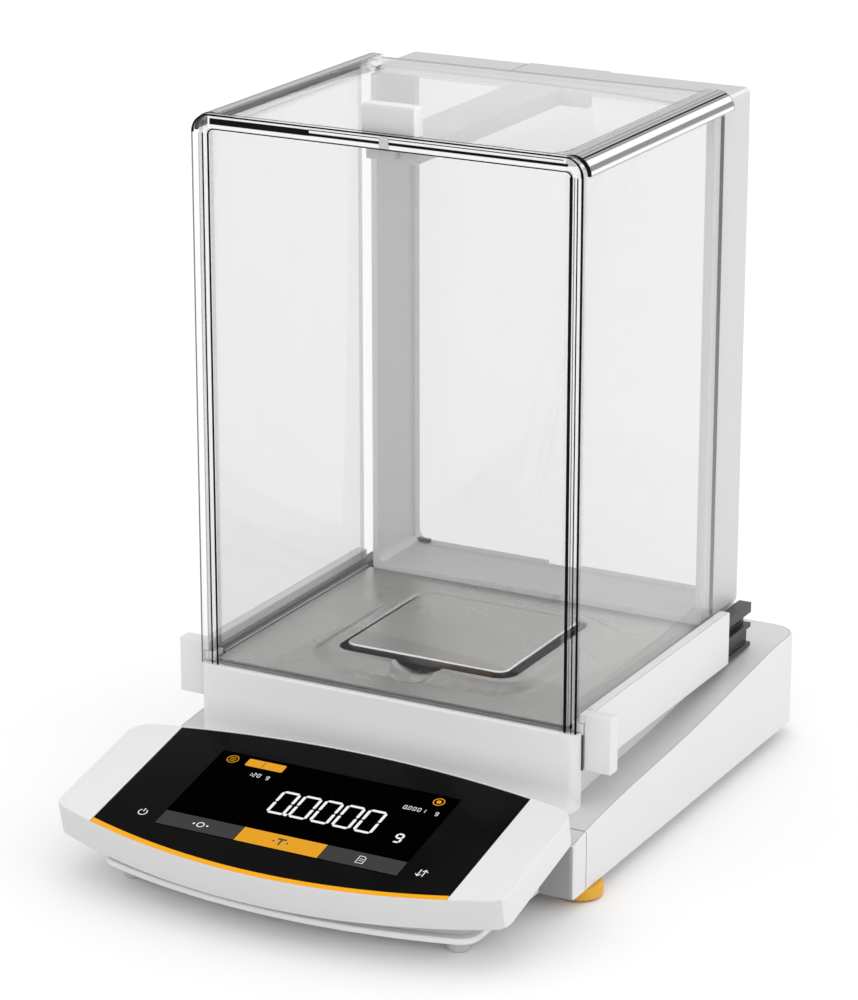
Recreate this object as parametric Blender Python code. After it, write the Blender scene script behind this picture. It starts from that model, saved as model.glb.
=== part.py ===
"""An analytical balance with a glass draft shield, as separate pieces.

Metres, +Z up. The origin is on the table under the middle of the balance. +X is the user's
right when facing the display, and the display looks towards -Y. The draft shield has three
sliding panes: two side doors and the roof. Each moving group hangs from an empty that stands
on its joint's axis.
"""

import math

import bmesh
import bpy
from mathutils import Matrix, Vector

MM = 0.001
GAP = 0.3 * MM  # left between pieces that touch
REACH = 150 * MM  # how far a cutter runs when it goes right through

# ---- overall layout ----
BASE_HALF_WIDTH = 103 * MM
BASE_REAR = 159.4 * MM
BASE_REAR_CORNER = 12 * MM
BASE_BOTTOM = 6.5 * MM
TRAY_THICK = 3 * MM
TRAY_TOP = BASE_BOTTOM + TRAY_THICK
SEAM_Y = -63.2 * MM  # where the front corner piece meets the main housing
BASE_FRONT = -75.2 * MM
WALL = 2.7 * MM
TRAY_INSET = 1.2 * MM  # the tray stands this far inside the housing's sides and rear
TONGUE_HALF = 87.5 * MM  # the tray's tongue under the display
TONGUE_CORNER_Y = -133.5 * MM
TONGUE_TIP_Y = -147.2 * MM
NECK_FRONT = -138 * MM
NECK_HALF = 84 * MM

# Height of the base's top deck along its length, as (y, z).
DECK_LINE = [
    (BASE_FRONT, 30.2 * MM),
    (SEAM_Y, 32.4 * MM),
    (-23 * MM, 36.3 * MM),
    (42 * MM, 37.6 * MM),
    (75 * MM, 40.2 * MM),
    (102 * MM, 42.2 * MM),
    (113 * MM, 44.2 * MM),
    (131 * MM, 48.2 * MM),
    (BASE_REAR, 49.2 * MM),
]

# ---- rear panel and its sockets ----
PANEL_HALF = 72 * MM
PANEL_BOTTOM = 14 * MM
PANEL_TOP = 36 * MM
SOCKET_DEPTH = 14 * MM
SOCKET_OPENINGS = {  # centre x, half width, (bottom, top)
    "power_socket": (-52 * MM, 5.5 * MM, (17 * MM, 28 * MM)),
    "usb_socket": (-22 * MM, 6 * MM, (17 * MM, 28 * MM)),
    "network_socket": (12 * MM, 8 * MM, (17 * MM, 30.5 * MM)),
}
POWER_MOUTH = (3.3 * MM, 22.5 * MM)  # radius, height of its middle
SQUARE_MOUTHS = {  # half width, depth, (bottom, top)
    "usb_socket": (4.3 * MM, 9 * MM, (18.6 * MM, 26.4 * MM)),
    "network_socket": (6 * MM, 10 * MM, (19.5 * MM, 28.5 * MM)),
}
BUBBLE_LEVEL = (-70 * MM, 146 * MM)

# ---- pedestal under the glass ----
FLOOR = 68.5 * MM  # the weighing chamber's floor level
PEDESTAL_TOP = FLOOR - 2 * MM
PEDESTAL_FRONT = -48.2 * MM
PEDESTAL_FRONT_HALF = 93 * MM
PEDESTAL_HALF = 85.7 * MM
PEDESTAL_CORNER = 4.4 * MM
WELL_HALF = 44 * MM  # the well under the pan
WELL_FRONT = -16 * MM
WELL_REAR = 70 * MM
WELL_FLOOR = 60.5 * MM
SCOOP_HALF = 13 * MM  # the finger scoop in front of the well
SCOOP_FRONT = -38 * MM

# ---- draft shield ----
GLASS_FRONT = -47.2 * MM
FRONT_FRAME_DEPTH = 4 * MM
FRAME_REAR = GLASS_FRONT + FRONT_FRAME_DEPTH
SHIELD_HALF = 90 * MM
SHIELD_TOP = 308.3 * MM
FRAME_POST = 8.5 * MM
FRAME_TOP_BAR = 6.5 * MM
GLASS_THICK = 2.8 * MM
COLUMN_FRONT = 92.3 * MM
COLUMN_REAR = 132.4 * MM
COLUMN_HALF = 83.3 * MM
COLUMN_TOP = 303.1 * MM
WINDOW_HALF = 80 * MM
WINDOW_BOTTOM = FLOOR + 2.5 * MM
WINDOW_TOP = FLOOR + 223 * MM
ROOF_GLASS_BOTTOM = COLUMN_TOP + 0.4 * MM
ROOF_GLASS_TOP = ROOF_GLASS_BOTTOM + GLASS_THICK
ROOF_RAIL_OUTER = 91 * MM
ROOF_RAIL_BOTTOM = 299.8 * MM
ROOF_RAIL_REAR = 96.6 * MM
ROOF_RAIL_INNER = 78 * MM
ROOF_GLASS_HALF = 84.3 * MM
ROOF_HANDLE_HALF = 12.3 * MM
ROOF_HANDLE_TOP = 319.5 * MM
BEAM_HALF = 12.5 * MM
BEAM_FRONT = -38.5 * MM
BEAM_BOTTOM = 297.5 * MM
BEAM_TOP = 302.5 * MM
BEAM_SCREW = (19.5 * MM, 295.5 * MM)  # x and height of the screw that holds the beam

# ---- side doors ----
PANE_INNER = 86.8 * MM
PANE_OUTER = 89 * MM
PANE_BOTTOM = 70.6 * MM
PANE_TOP = 303 * MM
PANE_REAR = 91.3 * MM
DOOR_OUTER = 94.2 * MM
DOOR_TOP = FLOOR + 6 * MM
DOOR_BOTTOM = 50.1 * MM
DOOR_REAR = 98.1 * MM
DOOR_HANDLE_OUTER = 103.8 * MM
DOOR_HANDLE_DEPTH = 7 * MM
RAIL_INNER = 86 * MM
RAIL_OUTER = 92 * MM
RAIL_REAR = 127.3 * MM
RAIL_BOTTOM = 48.9 * MM
RAIL_TOP = 69.8 * MM

# ---- weighing pan ----
PAN_Y = 24.8 * MM
PAN_HALF_X = 39 * MM
PAN_HALF_Y = 37 * MM
PAN_TOP = FLOOR + 4.7 * MM
PAN_THICK = 1 * MM
PAN_RIM = 4 * MM
PAN_CORNER = 5 * MM

# ---- display unit: a slab tilted towards the user ----
DISPLAY_TILT = math.radians(12.32)
DISPLAY_ORIGIN = (0, -144.7 * MM, 32.2 * MM)
DISPLAY_THICK = 11.3 * MM
DISPLAY_HALF = 104.8 * MM
DISPLAY_REAR_ARC = (79.7 * MM, 492 * MM)  # distance up the slope at the middle, radius
DISPLAY_FRONT_ARC = (-15 * MM, 302 * MM)
GLASS_PANEL_HALF = 83 * MM
ACCENT_WIDTH = 3.2 * MM
SCREEN_HALF = 57 * MM
SCREEN_START = 4 * MM
SCREEN_END = 62 * MM

# ---- feet ----
LEVEL_FOOT = (96 * MM, -54.7 * MM)
REAR_FOOT = (86 * MM, 136 * MM)
FRONT_PAD = (76.5 * MM, -124.7 * MM)

# ---- what sits inside the base ----
CELL_HALF = 20 * MM
CELL_FRONT = 8 * MM
CELL_REAR = 88 * MM
CELL_BOTTOM = 13 * MM
CELL_TOP = 50 * MM
MAGNET_Y = 114 * MM
MAGNET_RADIUS = 20 * MM
CAL_X = -46 * MM
CAL_Y = 45 * MM
CAL_WEIGHT_X = -66 * MM
HOOK_PIVOT_X = 24 * MM


# ---------------------------------------------------------------- helpers


def clear_scene():
    for old in list(bpy.data.objects):
        bpy.data.objects.remove(old)


def make_material(name, colour, roughness, metallic=0.0, alpha=1.0):
    material = bpy.data.materials.new(name)
    material.use_nodes = True
    shader = material.node_tree.nodes["Principled BSDF"]
    shader.inputs["Base Color"].default_value = (*colour, 1)
    shader.inputs["Roughness"].default_value = roughness
    shader.inputs["Metallic"].default_value = metallic
    shader.inputs["Alpha"].default_value = alpha
    material.diffuse_color = (*colour, alpha)
    return material


def rounded_outline(corners, steps=4):
    """A closed outline through the corners (a, b, radius), each rounded by its own radius."""
    outline = []
    for index, (a, b, radius) in enumerate(corners):
        here = Vector((a, b))
        if radius == 0:
            outline.append(here)
            continue
        back = (Vector(corners[index - 1][:2]) - here).normalized()
        ahead = (Vector(corners[(index + 1) % len(corners)][:2]) - here).normalized()
        half = back.angle(ahead) / 2
        centre = here + (back + ahead).normalized() * radius / math.sin(half)
        spoke = here + back * radius / math.tan(half) - centre
        side = 1 if back.cross(ahead) < 0 else -1
        for step in range(steps + 1):
            turn = side * (math.pi - 2 * half) * step / steps
            outline.append(centre + Matrix.Rotation(turn, 2) @ spoke)
    return outline


def rectangle(low_a, high_a, low_b, high_b, radius=0, steps=4):
    corners = [
        (low_a, low_b, radius),
        (high_a, low_b, radius),
        (high_a, high_b, radius),
        (low_a, high_b, radius),
    ]
    return rounded_outline(corners, steps)


def along(axis, a, b, depth):
    """The point (a, b) of an outline's plane, moved by depth along the named axis."""
    if axis == "X":
        return Vector((depth, a, b))
    if axis == "Y":
        return Vector((a, depth, b))
    return Vector((a, b, depth))


def new_piece(name, points, faces, material):
    """An object whose origin is the middle of its box, from points in the world."""
    low = Vector([min(p[i] for p in points) for i in range(3)])
    high = Vector([max(p[i] for p in points) for i in range(3)])
    middle = (low + high) / 2
    mesh = bpy.data.meshes.new(name)
    mesh.from_pydata([p - middle for p in points], [], faces)
    piece = bpy.data.objects.new(name, mesh)
    piece.location = middle
    mesh.materials.append(material)
    bpy.context.scene.collection.objects.link(piece)
    close_and_face_outward(mesh)
    return piece


def close_and_face_outward(mesh):
    """Joins a profile's last ring to its first where they meet, and turns the faces outward."""
    shape = bmesh.new()
    shape.from_mesh(mesh)
    bmesh.ops.remove_doubles(shape, verts=shape.verts, dist=0.001 * MM)
    bmesh.ops.recalc_face_normals(shape, faces=shape.faces)
    shape.to_mesh(mesh)
    shape.free()


def extrude(name, outline, axis, start, end, material):
    """A closed solid: the outline pushed along an axis from start to end."""
    count = len(outline)
    points = [along(axis, a, b, start) for a, b in outline]
    points += [along(axis, a, b, end) for a, b in outline]
    faces = [list(range(count)), list(range(count, 2 * count))]
    for i in range(count):
        j = (i + 1) % count
        faces.append([i, j, count + j, count + i])
    return new_piece(name, points, faces, material)


def box(name, x_span, y_span, z_span, material):
    return extrude(name, rectangle(*x_span, *y_span), "Z", *z_span, material)


def turned(name, profile, centre, material, segments=24, axis="Z"):
    """A round solid. The profile is (radius, height) from one end of the axis to the other."""
    points, rings = [], []
    for radius, height in profile:
        if radius == 0:
            rings.append([len(points)])
            points.append((0, 0, height))
            continue
        rings.append(list(range(len(points), len(points) + segments)))
        for step in range(segments):
            turn = 2 * math.pi * step / segments
            points.append((radius * math.cos(turn), radius * math.sin(turn), height))
    faces = []
    for lower, upper in zip(rings, rings[1:]):
        for step in range(segments):
            after = (step + 1) % segments
            corners = [
                lower[step % len(lower)],
                lower[after % len(lower)],
                upper[after % len(upper)],
                upper[step % len(upper)],
            ]
            face = list(dict.fromkeys(corners))
            if len(face) > 2:
                faces.append(face)
    lay = Matrix.Rotation(-math.pi / 2, 3, "X") if axis == "Y" else Matrix.Identity(3)
    placed = [lay @ Vector(p) + Vector(centre) for p in points]
    piece = new_piece(name, placed, faces, material)
    piece.data.shade_smooth()
    piece.data.set_sharp_from_angle(angle=math.radians(35))
    return piece


def as_helper(piece):
    piece.hide_render = True
    piece.display_type = "WIRE"
    return piece


def combine(piece, helper, operation):
    step = piece.modifiers.new(operation.title(), "BOOLEAN")
    step.operation = operation
    step.solver = "EXACT"
    step.object = as_helper(helper)
    return piece


def cut(piece, *helpers):
    for helper in helpers:
        combine(piece, helper, "DIFFERENCE")
    return piece


def add(piece, *helpers):
    for helper in helpers:
        combine(piece, helper, "UNION")
    return piece


def cutter_box(x_span, y_span, z_span):
    return box("cutter", x_span, y_span, z_span, MATERIALS["cutter"])


def cutter_round(centre, radius, low, high, axis="Z", segments=24):
    profile = [(0, low), (radius, low), (radius, high), (0, high)]
    return turned("cutter", profile, centre, MATERIALS["cutter"], segments, axis)


def joint_frame(name, point):
    empty = bpy.data.objects.new(name, None)
    empty.location = point
    empty.empty_display_size = 0.01
    bpy.context.scene.collection.objects.link(empty)
    return empty


def carry(frame, *pieces):
    """The pieces hang from the frame, which isn't turned, and stay where they are."""
    for piece in pieces:
        piece.parent = frame
        piece.matrix_parent_inverse = Matrix.Translation(frame.location).inverted()


def mirrored(low, high, side):
    """The span from low to high on the right, or its mirror image on the left."""
    return tuple(sorted((side * low, side * high)))


MATERIAL_LOOKS = {
    "cutter": ((1, 0, 0), 0.5, 0, 1),
    "white_plastic": ((0.86, 0.86, 0.86), 0.38, 0, 1),
    "grey_plastic": ((0.62, 0.62, 0.62), 0.45, 0, 1),
    "black_plastic": ((0.03, 0.03, 0.032), 0.45, 0, 1),
    "cast_base": ((0.55, 0.55, 0.55), 0.5, 0, 1),
    "clear_glass": ((0.93, 0.96, 0.95), 0.02, 0, 0.25),
    "clear_plastic": ((0.92, 0.93, 0.93), 0.06, 0, 0.4),
    "brushed_steel": ((0.6, 0.59, 0.57), 0.32, 1, 1),
    "aluminium": ((0.72, 0.72, 0.73), 0.35, 1, 1),
    "brass": ((0.75, 0.6, 0.3), 0.3, 1, 1),
    "display_glass": ((0.008, 0.008, 0.009), 0.06, 0, 1),
    "screen": ((0.02, 0.02, 0.02), 0.2, 0, 1),
    "accent_orange": ((0.93, 0.42, 0.02), 0.4, 0, 1),
    "foot_yellow": ((0.75, 0.42, 0.03), 0.45, 0, 1),
    "rubber": ((0.04, 0.04, 0.04), 0.8, 0, 1),
    "circuit_board": ((0.02, 0.16, 0.07), 0.5, 0, 1),
}
MATERIALS = {}


# ---------------------------------------------------------------- base and housing


def deck_height(y):
    """Height of the deck line at y, between its points."""
    for (y0, z0), (y1, z1) in zip(DECK_LINE, DECK_LINE[1:]):
        if y <= y1:
            return z0 + (z1 - z0) * (y - y0) / (y1 - y0)
    return DECK_LINE[-1][1]


def side_outline(front, rear, bottom, drop):
    """Side view of the base between front and rear, its top lowered by drop."""
    outline = [(rear, bottom), (rear, deck_height(rear) - drop)]
    for y, z in reversed(DECK_LINE):
        if front < y < rear:
            outline.append((y, z - drop))
    outline.append((front, deck_height(front) - drop))
    outline.append((front, bottom))
    return outline


def tray_outline():
    """Plan of the base and the tongue that runs forward under the display."""
    half = BASE_HALF_WIDTH - TRAY_INSET
    front = BASE_FRONT + TRAY_INSET / 2
    rear = BASE_REAR - TRAY_INSET
    corners = [
        (half, front, 3 * MM),
        (half, rear, BASE_REAR_CORNER),
        (-half, rear, BASE_REAR_CORNER),
        (-half, front, 3 * MM),
        (-TONGUE_HALF, front, 0),
        (-TONGUE_HALF, TONGUE_CORNER_Y, 9 * MM),
    ]
    for share in (-0.72, -0.36, 0, 0.36, 0.72):
        bow = (TONGUE_CORNER_Y - TONGUE_TIP_Y) * share**2
        corners.append((TONGUE_HALF * share, TONGUE_TIP_Y + bow, 0))
    corners += [(TONGUE_HALF, TONGUE_CORNER_Y, 9 * MM), (TONGUE_HALF, front, 0)]
    return rounded_outline(corners, 3)


def tray_hole(x, y, radius, segments):
    return cutter_round((x, y, 0), radius, 0, TRAY_TOP + 2.5 * MM, segments=segments)


def make_base_tray():
    tray = extrude("base_tray", tray_outline(), "Z", BASE_BOTTOM, TRAY_TOP, MATERIALS["cast_base"])
    for side in (-1, 1):
        cut(tray, tray_hole(side * LEVEL_FOOT[0], LEVEL_FOOT[1], 3.4 * MM, 16))
        cut(tray, tray_hole(side * REAR_FOOT[0], REAR_FOOT[1], 2.8 * MM, 12))
        cut(tray, tray_hole(side * FRONT_PAD[0], FRONT_PAD[1], 2.3 * MM, 12))
    cut(tray, tray_hole(0, PAN_Y, 10 * MM, 24), tray_hole(HOOK_PIVOT_X, PAN_Y, 2 * MM, 12))
    return tray


def make_main_housing():
    """The white upper shell: base sides and deck with the pedestal that carries the shield."""
    white = MATERIALS["white_plastic"]
    bottom = TRAY_TOP + GAP
    half = BASE_HALF_WIDTH
    plan = rounded_outline(
        [
            (half, SEAM_Y + GAP, 0),
            (half, BASE_REAR, BASE_REAR_CORNER),
            (-half, BASE_REAR, BASE_REAR_CORNER),
            (-half, SEAM_Y + GAP, 0),
        ],
        4,
    )
    shell = extrude("main_housing", plan, "Z", bottom, PEDESTAL_TOP, white)
    past = 5 * MM
    above_deck = [(BASE_FRONT - past, FLOOR + past), (BASE_REAR + past, FLOOR + past)]
    above_deck += [(BASE_REAR + past, DECK_LINE[-1][1])]
    above_deck += list(reversed(DECK_LINE[:-1])) + [(BASE_FRONT - past, DECK_LINE[0][1])]
    cut(shell, extrude("cutter", above_deck, "X", -REACH, REACH, white))
    add(shell, pedestal_block())

    inner_half = half - WALL
    room = side_outline(SEAM_Y + GAP + WALL, BASE_REAR - WALL, 5 * MM, WALL)
    cut(shell, extrude("cutter", room, "X", -inner_half, inner_half, white))
    pedestal_room_x = (WALL - PEDESTAL_HALF, PEDESTAL_HALF - WALL)
    pedestal_room_y = (PEDESTAL_FRONT + WALL, COLUMN_REAR - WALL)
    cut(shell, cutter_box(pedestal_room_x, pedestal_room_y, (12 * MM, WELL_FLOOR - WALL)))
    cut(shell, cutter_box((-WELL_HALF, WELL_HALF), (WELL_FRONT, WELL_REAR), (WELL_FLOOR, FLOOR)))
    scoop_y = (SCOOP_FRONT, WELL_FRONT + 1 * MM)
    cut(shell, cutter_box((-SCOOP_HALF, SCOOP_HALF), scoop_y, (WELL_FLOOR + 0.5 * MM, FLOOR)))
    cut(shell, cutter_round((0, PAN_Y, 0), 9 * MM, 50 * MM, FLOOR))
    rear_y = (BASE_REAR - 2 * WALL, BASE_REAR + past)
    cut(shell, cutter_box((-PANEL_HALF, PANEL_HALF), rear_y, (PANEL_BOTTOM, PANEL_TOP)))
    cut(shell, cutter_round((*BUBBLE_LEVEL, 0), 7.4 * MM, 40 * MM, 60 * MM))
    return shell


def pedestal_block():
    front_half = PEDESTAL_FRONT_HALF
    step_y = FRAME_REAR - GAP
    corners = [
        (-front_half, PEDESTAL_FRONT, PEDESTAL_CORNER),
        (front_half, PEDESTAL_FRONT, PEDESTAL_CORNER),
        (front_half, step_y, 0),
        (PEDESTAL_HALF, step_y, 0),
        (PEDESTAL_HALF, COLUMN_REAR, 0),
        (-PEDESTAL_HALF, COLUMN_REAR, 0),
        (-PEDESTAL_HALF, step_y, 0),
        (-front_half, step_y, 0),
    ]
    outline = rounded_outline(corners, 3)
    return extrude("helper", outline, "Z", 31 * MM, PEDESTAL_TOP, MATERIALS["white_plastic"])


def make_front_housing():
    """The front corners of the base and the neck that carries the display."""
    white = MATERIALS["white_plastic"]
    bottom = TRAY_TOP + GAP
    corner = side_outline(BASE_FRONT, SEAM_Y - GAP, bottom, 0)
    piece = extrude("front_housing", corner, "X", -BASE_HALF_WIDTH, BASE_HALF_WIDTH, white)
    neck_top = display_under(NECK_FRONT) - GAP
    ridge = 29 * MM
    neck = [
        (SEAM_Y - 2 * MM, bottom),
        (SEAM_Y - 2 * MM, ridge),
        (BASE_FRONT - 1 * MM, ridge),
        (NECK_FRONT, neck_top),
        (NECK_FRONT, bottom),
    ]
    add(piece, extrude("helper", neck, "X", -NECK_HALF, NECK_HALF, white))
    wall = 2.5 * MM
    hollow = [
        (SEAM_Y + wall, 5 * MM),
        (SEAM_Y + wall, ridge - wall),
        (BASE_FRONT - 1 * MM, ridge - wall),
        (NECK_FRONT + wall, neck_top - wall),
        (NECK_FRONT + wall, 5 * MM),
    ]
    cut(piece, extrude("cutter", hollow, "X", wall - NECK_HALF, NECK_HALF - wall, white))
    return piece


def make_rear_panel():
    """The plate in the rear opening that holds the sockets."""
    panel = box("rear_panel", (GAP - PANEL_HALF, PANEL_HALF - GAP),
                (BASE_REAR - 2.5 * MM, BASE_REAR - 0.5 * MM),
                (PANEL_BOTTOM + GAP, PANEL_TOP - GAP), MATERIALS["grey_plastic"])
    for x, half_x, (bottom, top) in SOCKET_OPENINGS.values():
        span_x = (x - half_x - GAP, x + half_x + GAP)
        cut(panel, cutter_box(span_x, (COLUMN_REAR, BASE_REAR + 5 * MM), (bottom - GAP, top + GAP)))
    return panel


def make_sockets():
    """The power, data and network sockets, each a block with its mouth towards the rear."""
    face = BASE_REAR - 0.2 * MM
    sockets = {}
    for name, (x, half_x, z_span) in SOCKET_OPENINGS.items():
        material = MATERIALS["black_plastic" if name == "power_socket" else "aluminium"]
        span_x = (x - half_x, x + half_x)
        sockets[name] = box(name, span_x, (face - SOCKET_DEPTH, face), z_span, material)
    radius, middle = POWER_MOUTH
    power_x = SOCKET_OPENINGS["power_socket"][0]
    mouth = cutter_round((power_x, face, middle), radius, -9 * MM, 1 * MM, "Y", 16)
    cut(sockets["power_socket"], mouth)
    for name, (half, depth, z_span) in SQUARE_MOUTHS.items():
        x = SOCKET_OPENINGS[name][0]
        cut(sockets[name], cutter_box((x - half, x + half), (face - depth, face + 1 * MM), z_span))


def make_bubble_level():
    """A round spirit level let into the deck, behind the column."""
    rim = deck_height(BUBBLE_LEVEL[1])
    centre = (*BUBBLE_LEVEL, 0)
    turned("bubble_level_cup", [
        (0, rim - 7 * MM), (7 * MM, rim - 7 * MM), (7 * MM, rim + 0.6 * MM),
        (6 * MM, rim + 0.6 * MM), (6 * MM, rim - 5.5 * MM), (0, rim - 5.5 * MM),
    ], centre, MATERIALS["black_plastic"])
    turned("bubble_level_lens", [
        (0, rim - 5.2 * MM), (5.7 * MM, rim - 5.2 * MM), (5.7 * MM, rim), (0, rim + 0.4 * MM),
    ], centre, MATERIALS["clear_glass"])


# ---------------------------------------------------------------- feet


def make_feet():
    """Two screw feet at the front corners, two fixed rear feet and two pads under the tongue."""
    for side, word in ((-1, "left"), (1, "right")):
        x, y = side * LEVEL_FOOT[0], LEVEL_FOOT[1]
        frame = joint_frame(f"level_frame_{word}", (x, y, 0))
        pad = turned(f"level_pad_{word}", [
            (0, 0), (7.6 * MM, 0), (8 * MM, 0.4 * MM), (8 * MM, 1.2 * MM), (0, 1.2 * MM),
        ], (x, y, 0), MATERIALS["rubber"], 20)
        wheel = turned(f"level_wheel_{word}", [
            (3 * MM + GAP, 1.2 * MM + GAP), (9.4 * MM, 1.2 * MM + GAP), (10 * MM, 2.1 * MM),
            (10 * MM, 5.2 * MM), (9.4 * MM, 6 * MM), (3 * MM + GAP, 6 * MM),
            (3 * MM + GAP, 1.2 * MM + GAP),
        ], (x, y, 0), MATERIALS["foot_yellow"], 28)
        stud = turned(f"level_stud_{word}", [
            (0, 1.2 * MM + GAP), (3 * MM, 1.2 * MM + GAP), (3 * MM, 23 * MM),
            (2.4 * MM, 24 * MM), (0, 24 * MM),
        ], (x, y, 0), MATERIALS["aluminium"], 16)
        carry(frame, pad, wheel, stud)

        turned(f"rear_foot_{word}", [
            (0, 0), (7.4 * MM, 0), (8 * MM, 0.8 * MM), (8 * MM, 6.2 * MM), (2.5 * MM, 6.2 * MM),
            (2.5 * MM, 9 * MM), (0, 9 * MM),
        ], (side * REAR_FOOT[0], REAR_FOOT[1], 0), MATERIALS["rubber"], 20)
        turned(f"front_pad_{word}", [
            (0, 0), (4.6 * MM, 0), (5 * MM, 0.6 * MM), (5 * MM, 6.2 * MM), (2 * MM, 6.2 * MM),
            (2 * MM, 9 * MM), (0, 9 * MM),
        ], (side * FRONT_PAD[0], FRONT_PAD[1], 0), MATERIALS["rubber"], 16)


def make_hook_cover():
    """The plate that swings aside under the base, for weighing on a hook below the balance."""
    pivot = (HOOK_PIVOT_X, PAN_Y, 0)
    frame = joint_frame("hook_cover_frame", pivot)
    outline = rectangle(-14 * MM, HOOK_PIVOT_X + 6 * MM, PAN_Y - 13 * MM, PAN_Y + 13 * MM, 5 * MM, 3)
    plate = extrude("hook_cover", outline, "Z", 4.2 * MM, 6.1 * MM, MATERIALS["black_plastic"])
    pin = [(0, 5 * MM), (1.6 * MM, 5 * MM), (1.6 * MM, 9 * MM), (0, 9 * MM)]
    add(plate, turned("helper", pin, pivot, MATERIALS["black_plastic"], 12))
    carry(frame, plate)


# ---------------------------------------------------------------- display unit


def display_under(y):
    """Height of the display slab's underside at y."""
    _, start_y, start_z = DISPLAY_ORIGIN
    top = start_z + math.tan(DISPLAY_TILT) * (y - start_y)
    return top - DISPLAY_THICK / math.cos(DISPLAY_TILT)


def arc_height(arc, x, inset, faces_front):
    """Distance up the slope of an arc edge at x, drawn in by inset."""
    middle, radius = arc
    rise = (radius - inset) - math.sqrt((radius - inset) ** 2 - x * x)
    return middle + inset + rise if faces_front else middle - inset - rise


def panel_outline(half, inset, front_inset, front_radius, rear_radius, steps=4):
    """Plan of a display layer: straight sides between a front arc and a rear arc."""
    count = 4
    front = [half * (2 * i / count - 1) for i in range(count + 1)]
    corners = []
    for x in front:
        radius = front_radius if abs(x) == half else 0
        corners.append((x, arc_height(DISPLAY_FRONT_ARC, x, front_inset, True), radius))
    for x in reversed(front):
        radius = rear_radius if abs(x) == half else 0
        corners.append((x, arc_height(DISPLAY_REAR_ARC, x, inset, False), radius))
    return rounded_outline(corners, steps)


def make_display():
    """Slab housing, its bottom cover, the glass panel, the accent strip and the electronics."""
    white = MATERIALS["white_plastic"]
    glass_depth = 1.3 * MM
    housing = extrude("display_housing", panel_outline(DISPLAY_HALF, 0, 0, 7 * MM, 10 * MM),
                      "Z", -DISPLAY_THICK, 0, white)
    recess = panel_outline(GLASS_PANEL_HALF + GAP, 1.2 * MM, 0.5 * MM, 0, 0)
    hollow = panel_outline(DISPLAY_HALF - 2.4 * MM, 2.4 * MM, 2.4 * MM, 5 * MM, 7 * MM, 3)
    window = rectangle(-SCREEN_HALF - GAP, SCREEN_HALF + GAP, SCREEN_START - GAP, SCREEN_END + GAP)
    cutters = [
        extrude("cutter", recess, "Z", -glass_depth - GAP, 3 * MM, white),
        extrude("cutter", hollow, "Z", -DISPLAY_THICK - 3 * MM, -3.6 * MM, white),
        extrude("cutter", window, "Z", -8 * MM, 2 * MM, white),
    ]
    cut(housing, *cutters)

    cover = extrude(
        "display_bottom_cover",
        panel_outline(DISPLAY_HALF - 2.4 * MM - GAP, 2.4 * MM + GAP, 2.4 * MM + GAP, 5 * MM, 7 * MM, 3),
        "Z", -DISPLAY_THICK, -DISPLAY_THICK + 1.8 * MM, MATERIALS["grey_plastic"])
    glass_outline = panel_outline(GLASS_PANEL_HALF, 1.2 * MM + GAP, ACCENT_WIDTH + GAP, 0, 0)
    glass = extrude("touch_glass", glass_outline, "Z", -glass_depth, 0, MATERIALS["display_glass"])
    xs = [GLASS_PANEL_HALF * (i / 2 - 1) for i in range(5)]
    strip_outline = [(x, arc_height(DISPLAY_FRONT_ARC, x, 0.5 * MM + GAP, True)) for x in xs]
    strip_outline += [(x, arc_height(DISPLAY_FRONT_ARC, x, ACCENT_WIDTH, True)) for x in reversed(xs)]
    strip = extrude("accent_strip", strip_outline, "Z", -glass_depth, 0, MATERIALS["accent_orange"])
    screen = box("screen_module", (-SCREEN_HALF, SCREEN_HALF), (SCREEN_START, SCREEN_END),
                 (-5.6 * MM, -glass_depth - GAP), MATERIALS["screen"])
    board = box("display_board", (-62 * MM, 62 * MM), (-2 * MM, 64 * MM),
                (-7.6 * MM, -6 * MM), MATERIALS["circuit_board"])

    tilt = joint_frame("display_frame", DISPLAY_ORIGIN)
    tilt.rotation_euler = (DISPLAY_TILT, 0, 0)
    for piece in [housing, cover, glass, strip, screen, board, *cutters]:
        piece.parent = tilt


# ---------------------------------------------------------------- draft shield


def make_floor_plate():
    """The stainless plate on the chamber's floor, with the opening that the pan sits in."""
    steel = MATERIALS["brushed_steel"]
    half = PEDESTAL_HALF - 1.2 * MM
    outline = rectangle(-half, half, FRAME_REAR + 0.5 * MM, COLUMN_FRONT - GAP, 1 * MM, 1)
    plate = extrude("floor_plate", outline, "Z", PEDESTAL_TOP + GAP, FLOOR - GAP, steel)
    clear = 3 * MM
    low_y, high_y = PAN_Y - PAN_HALF_Y - clear, PAN_Y + PAN_HALF_Y + clear
    opening = rectangle(-PAN_HALF_X - clear, PAN_HALF_X + clear, low_y, high_y, 8 * MM)
    cut(plate, extrude("cutter", opening, "Z", WELL_FLOOR, PAN_TOP, steel))
    return plate


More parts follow.
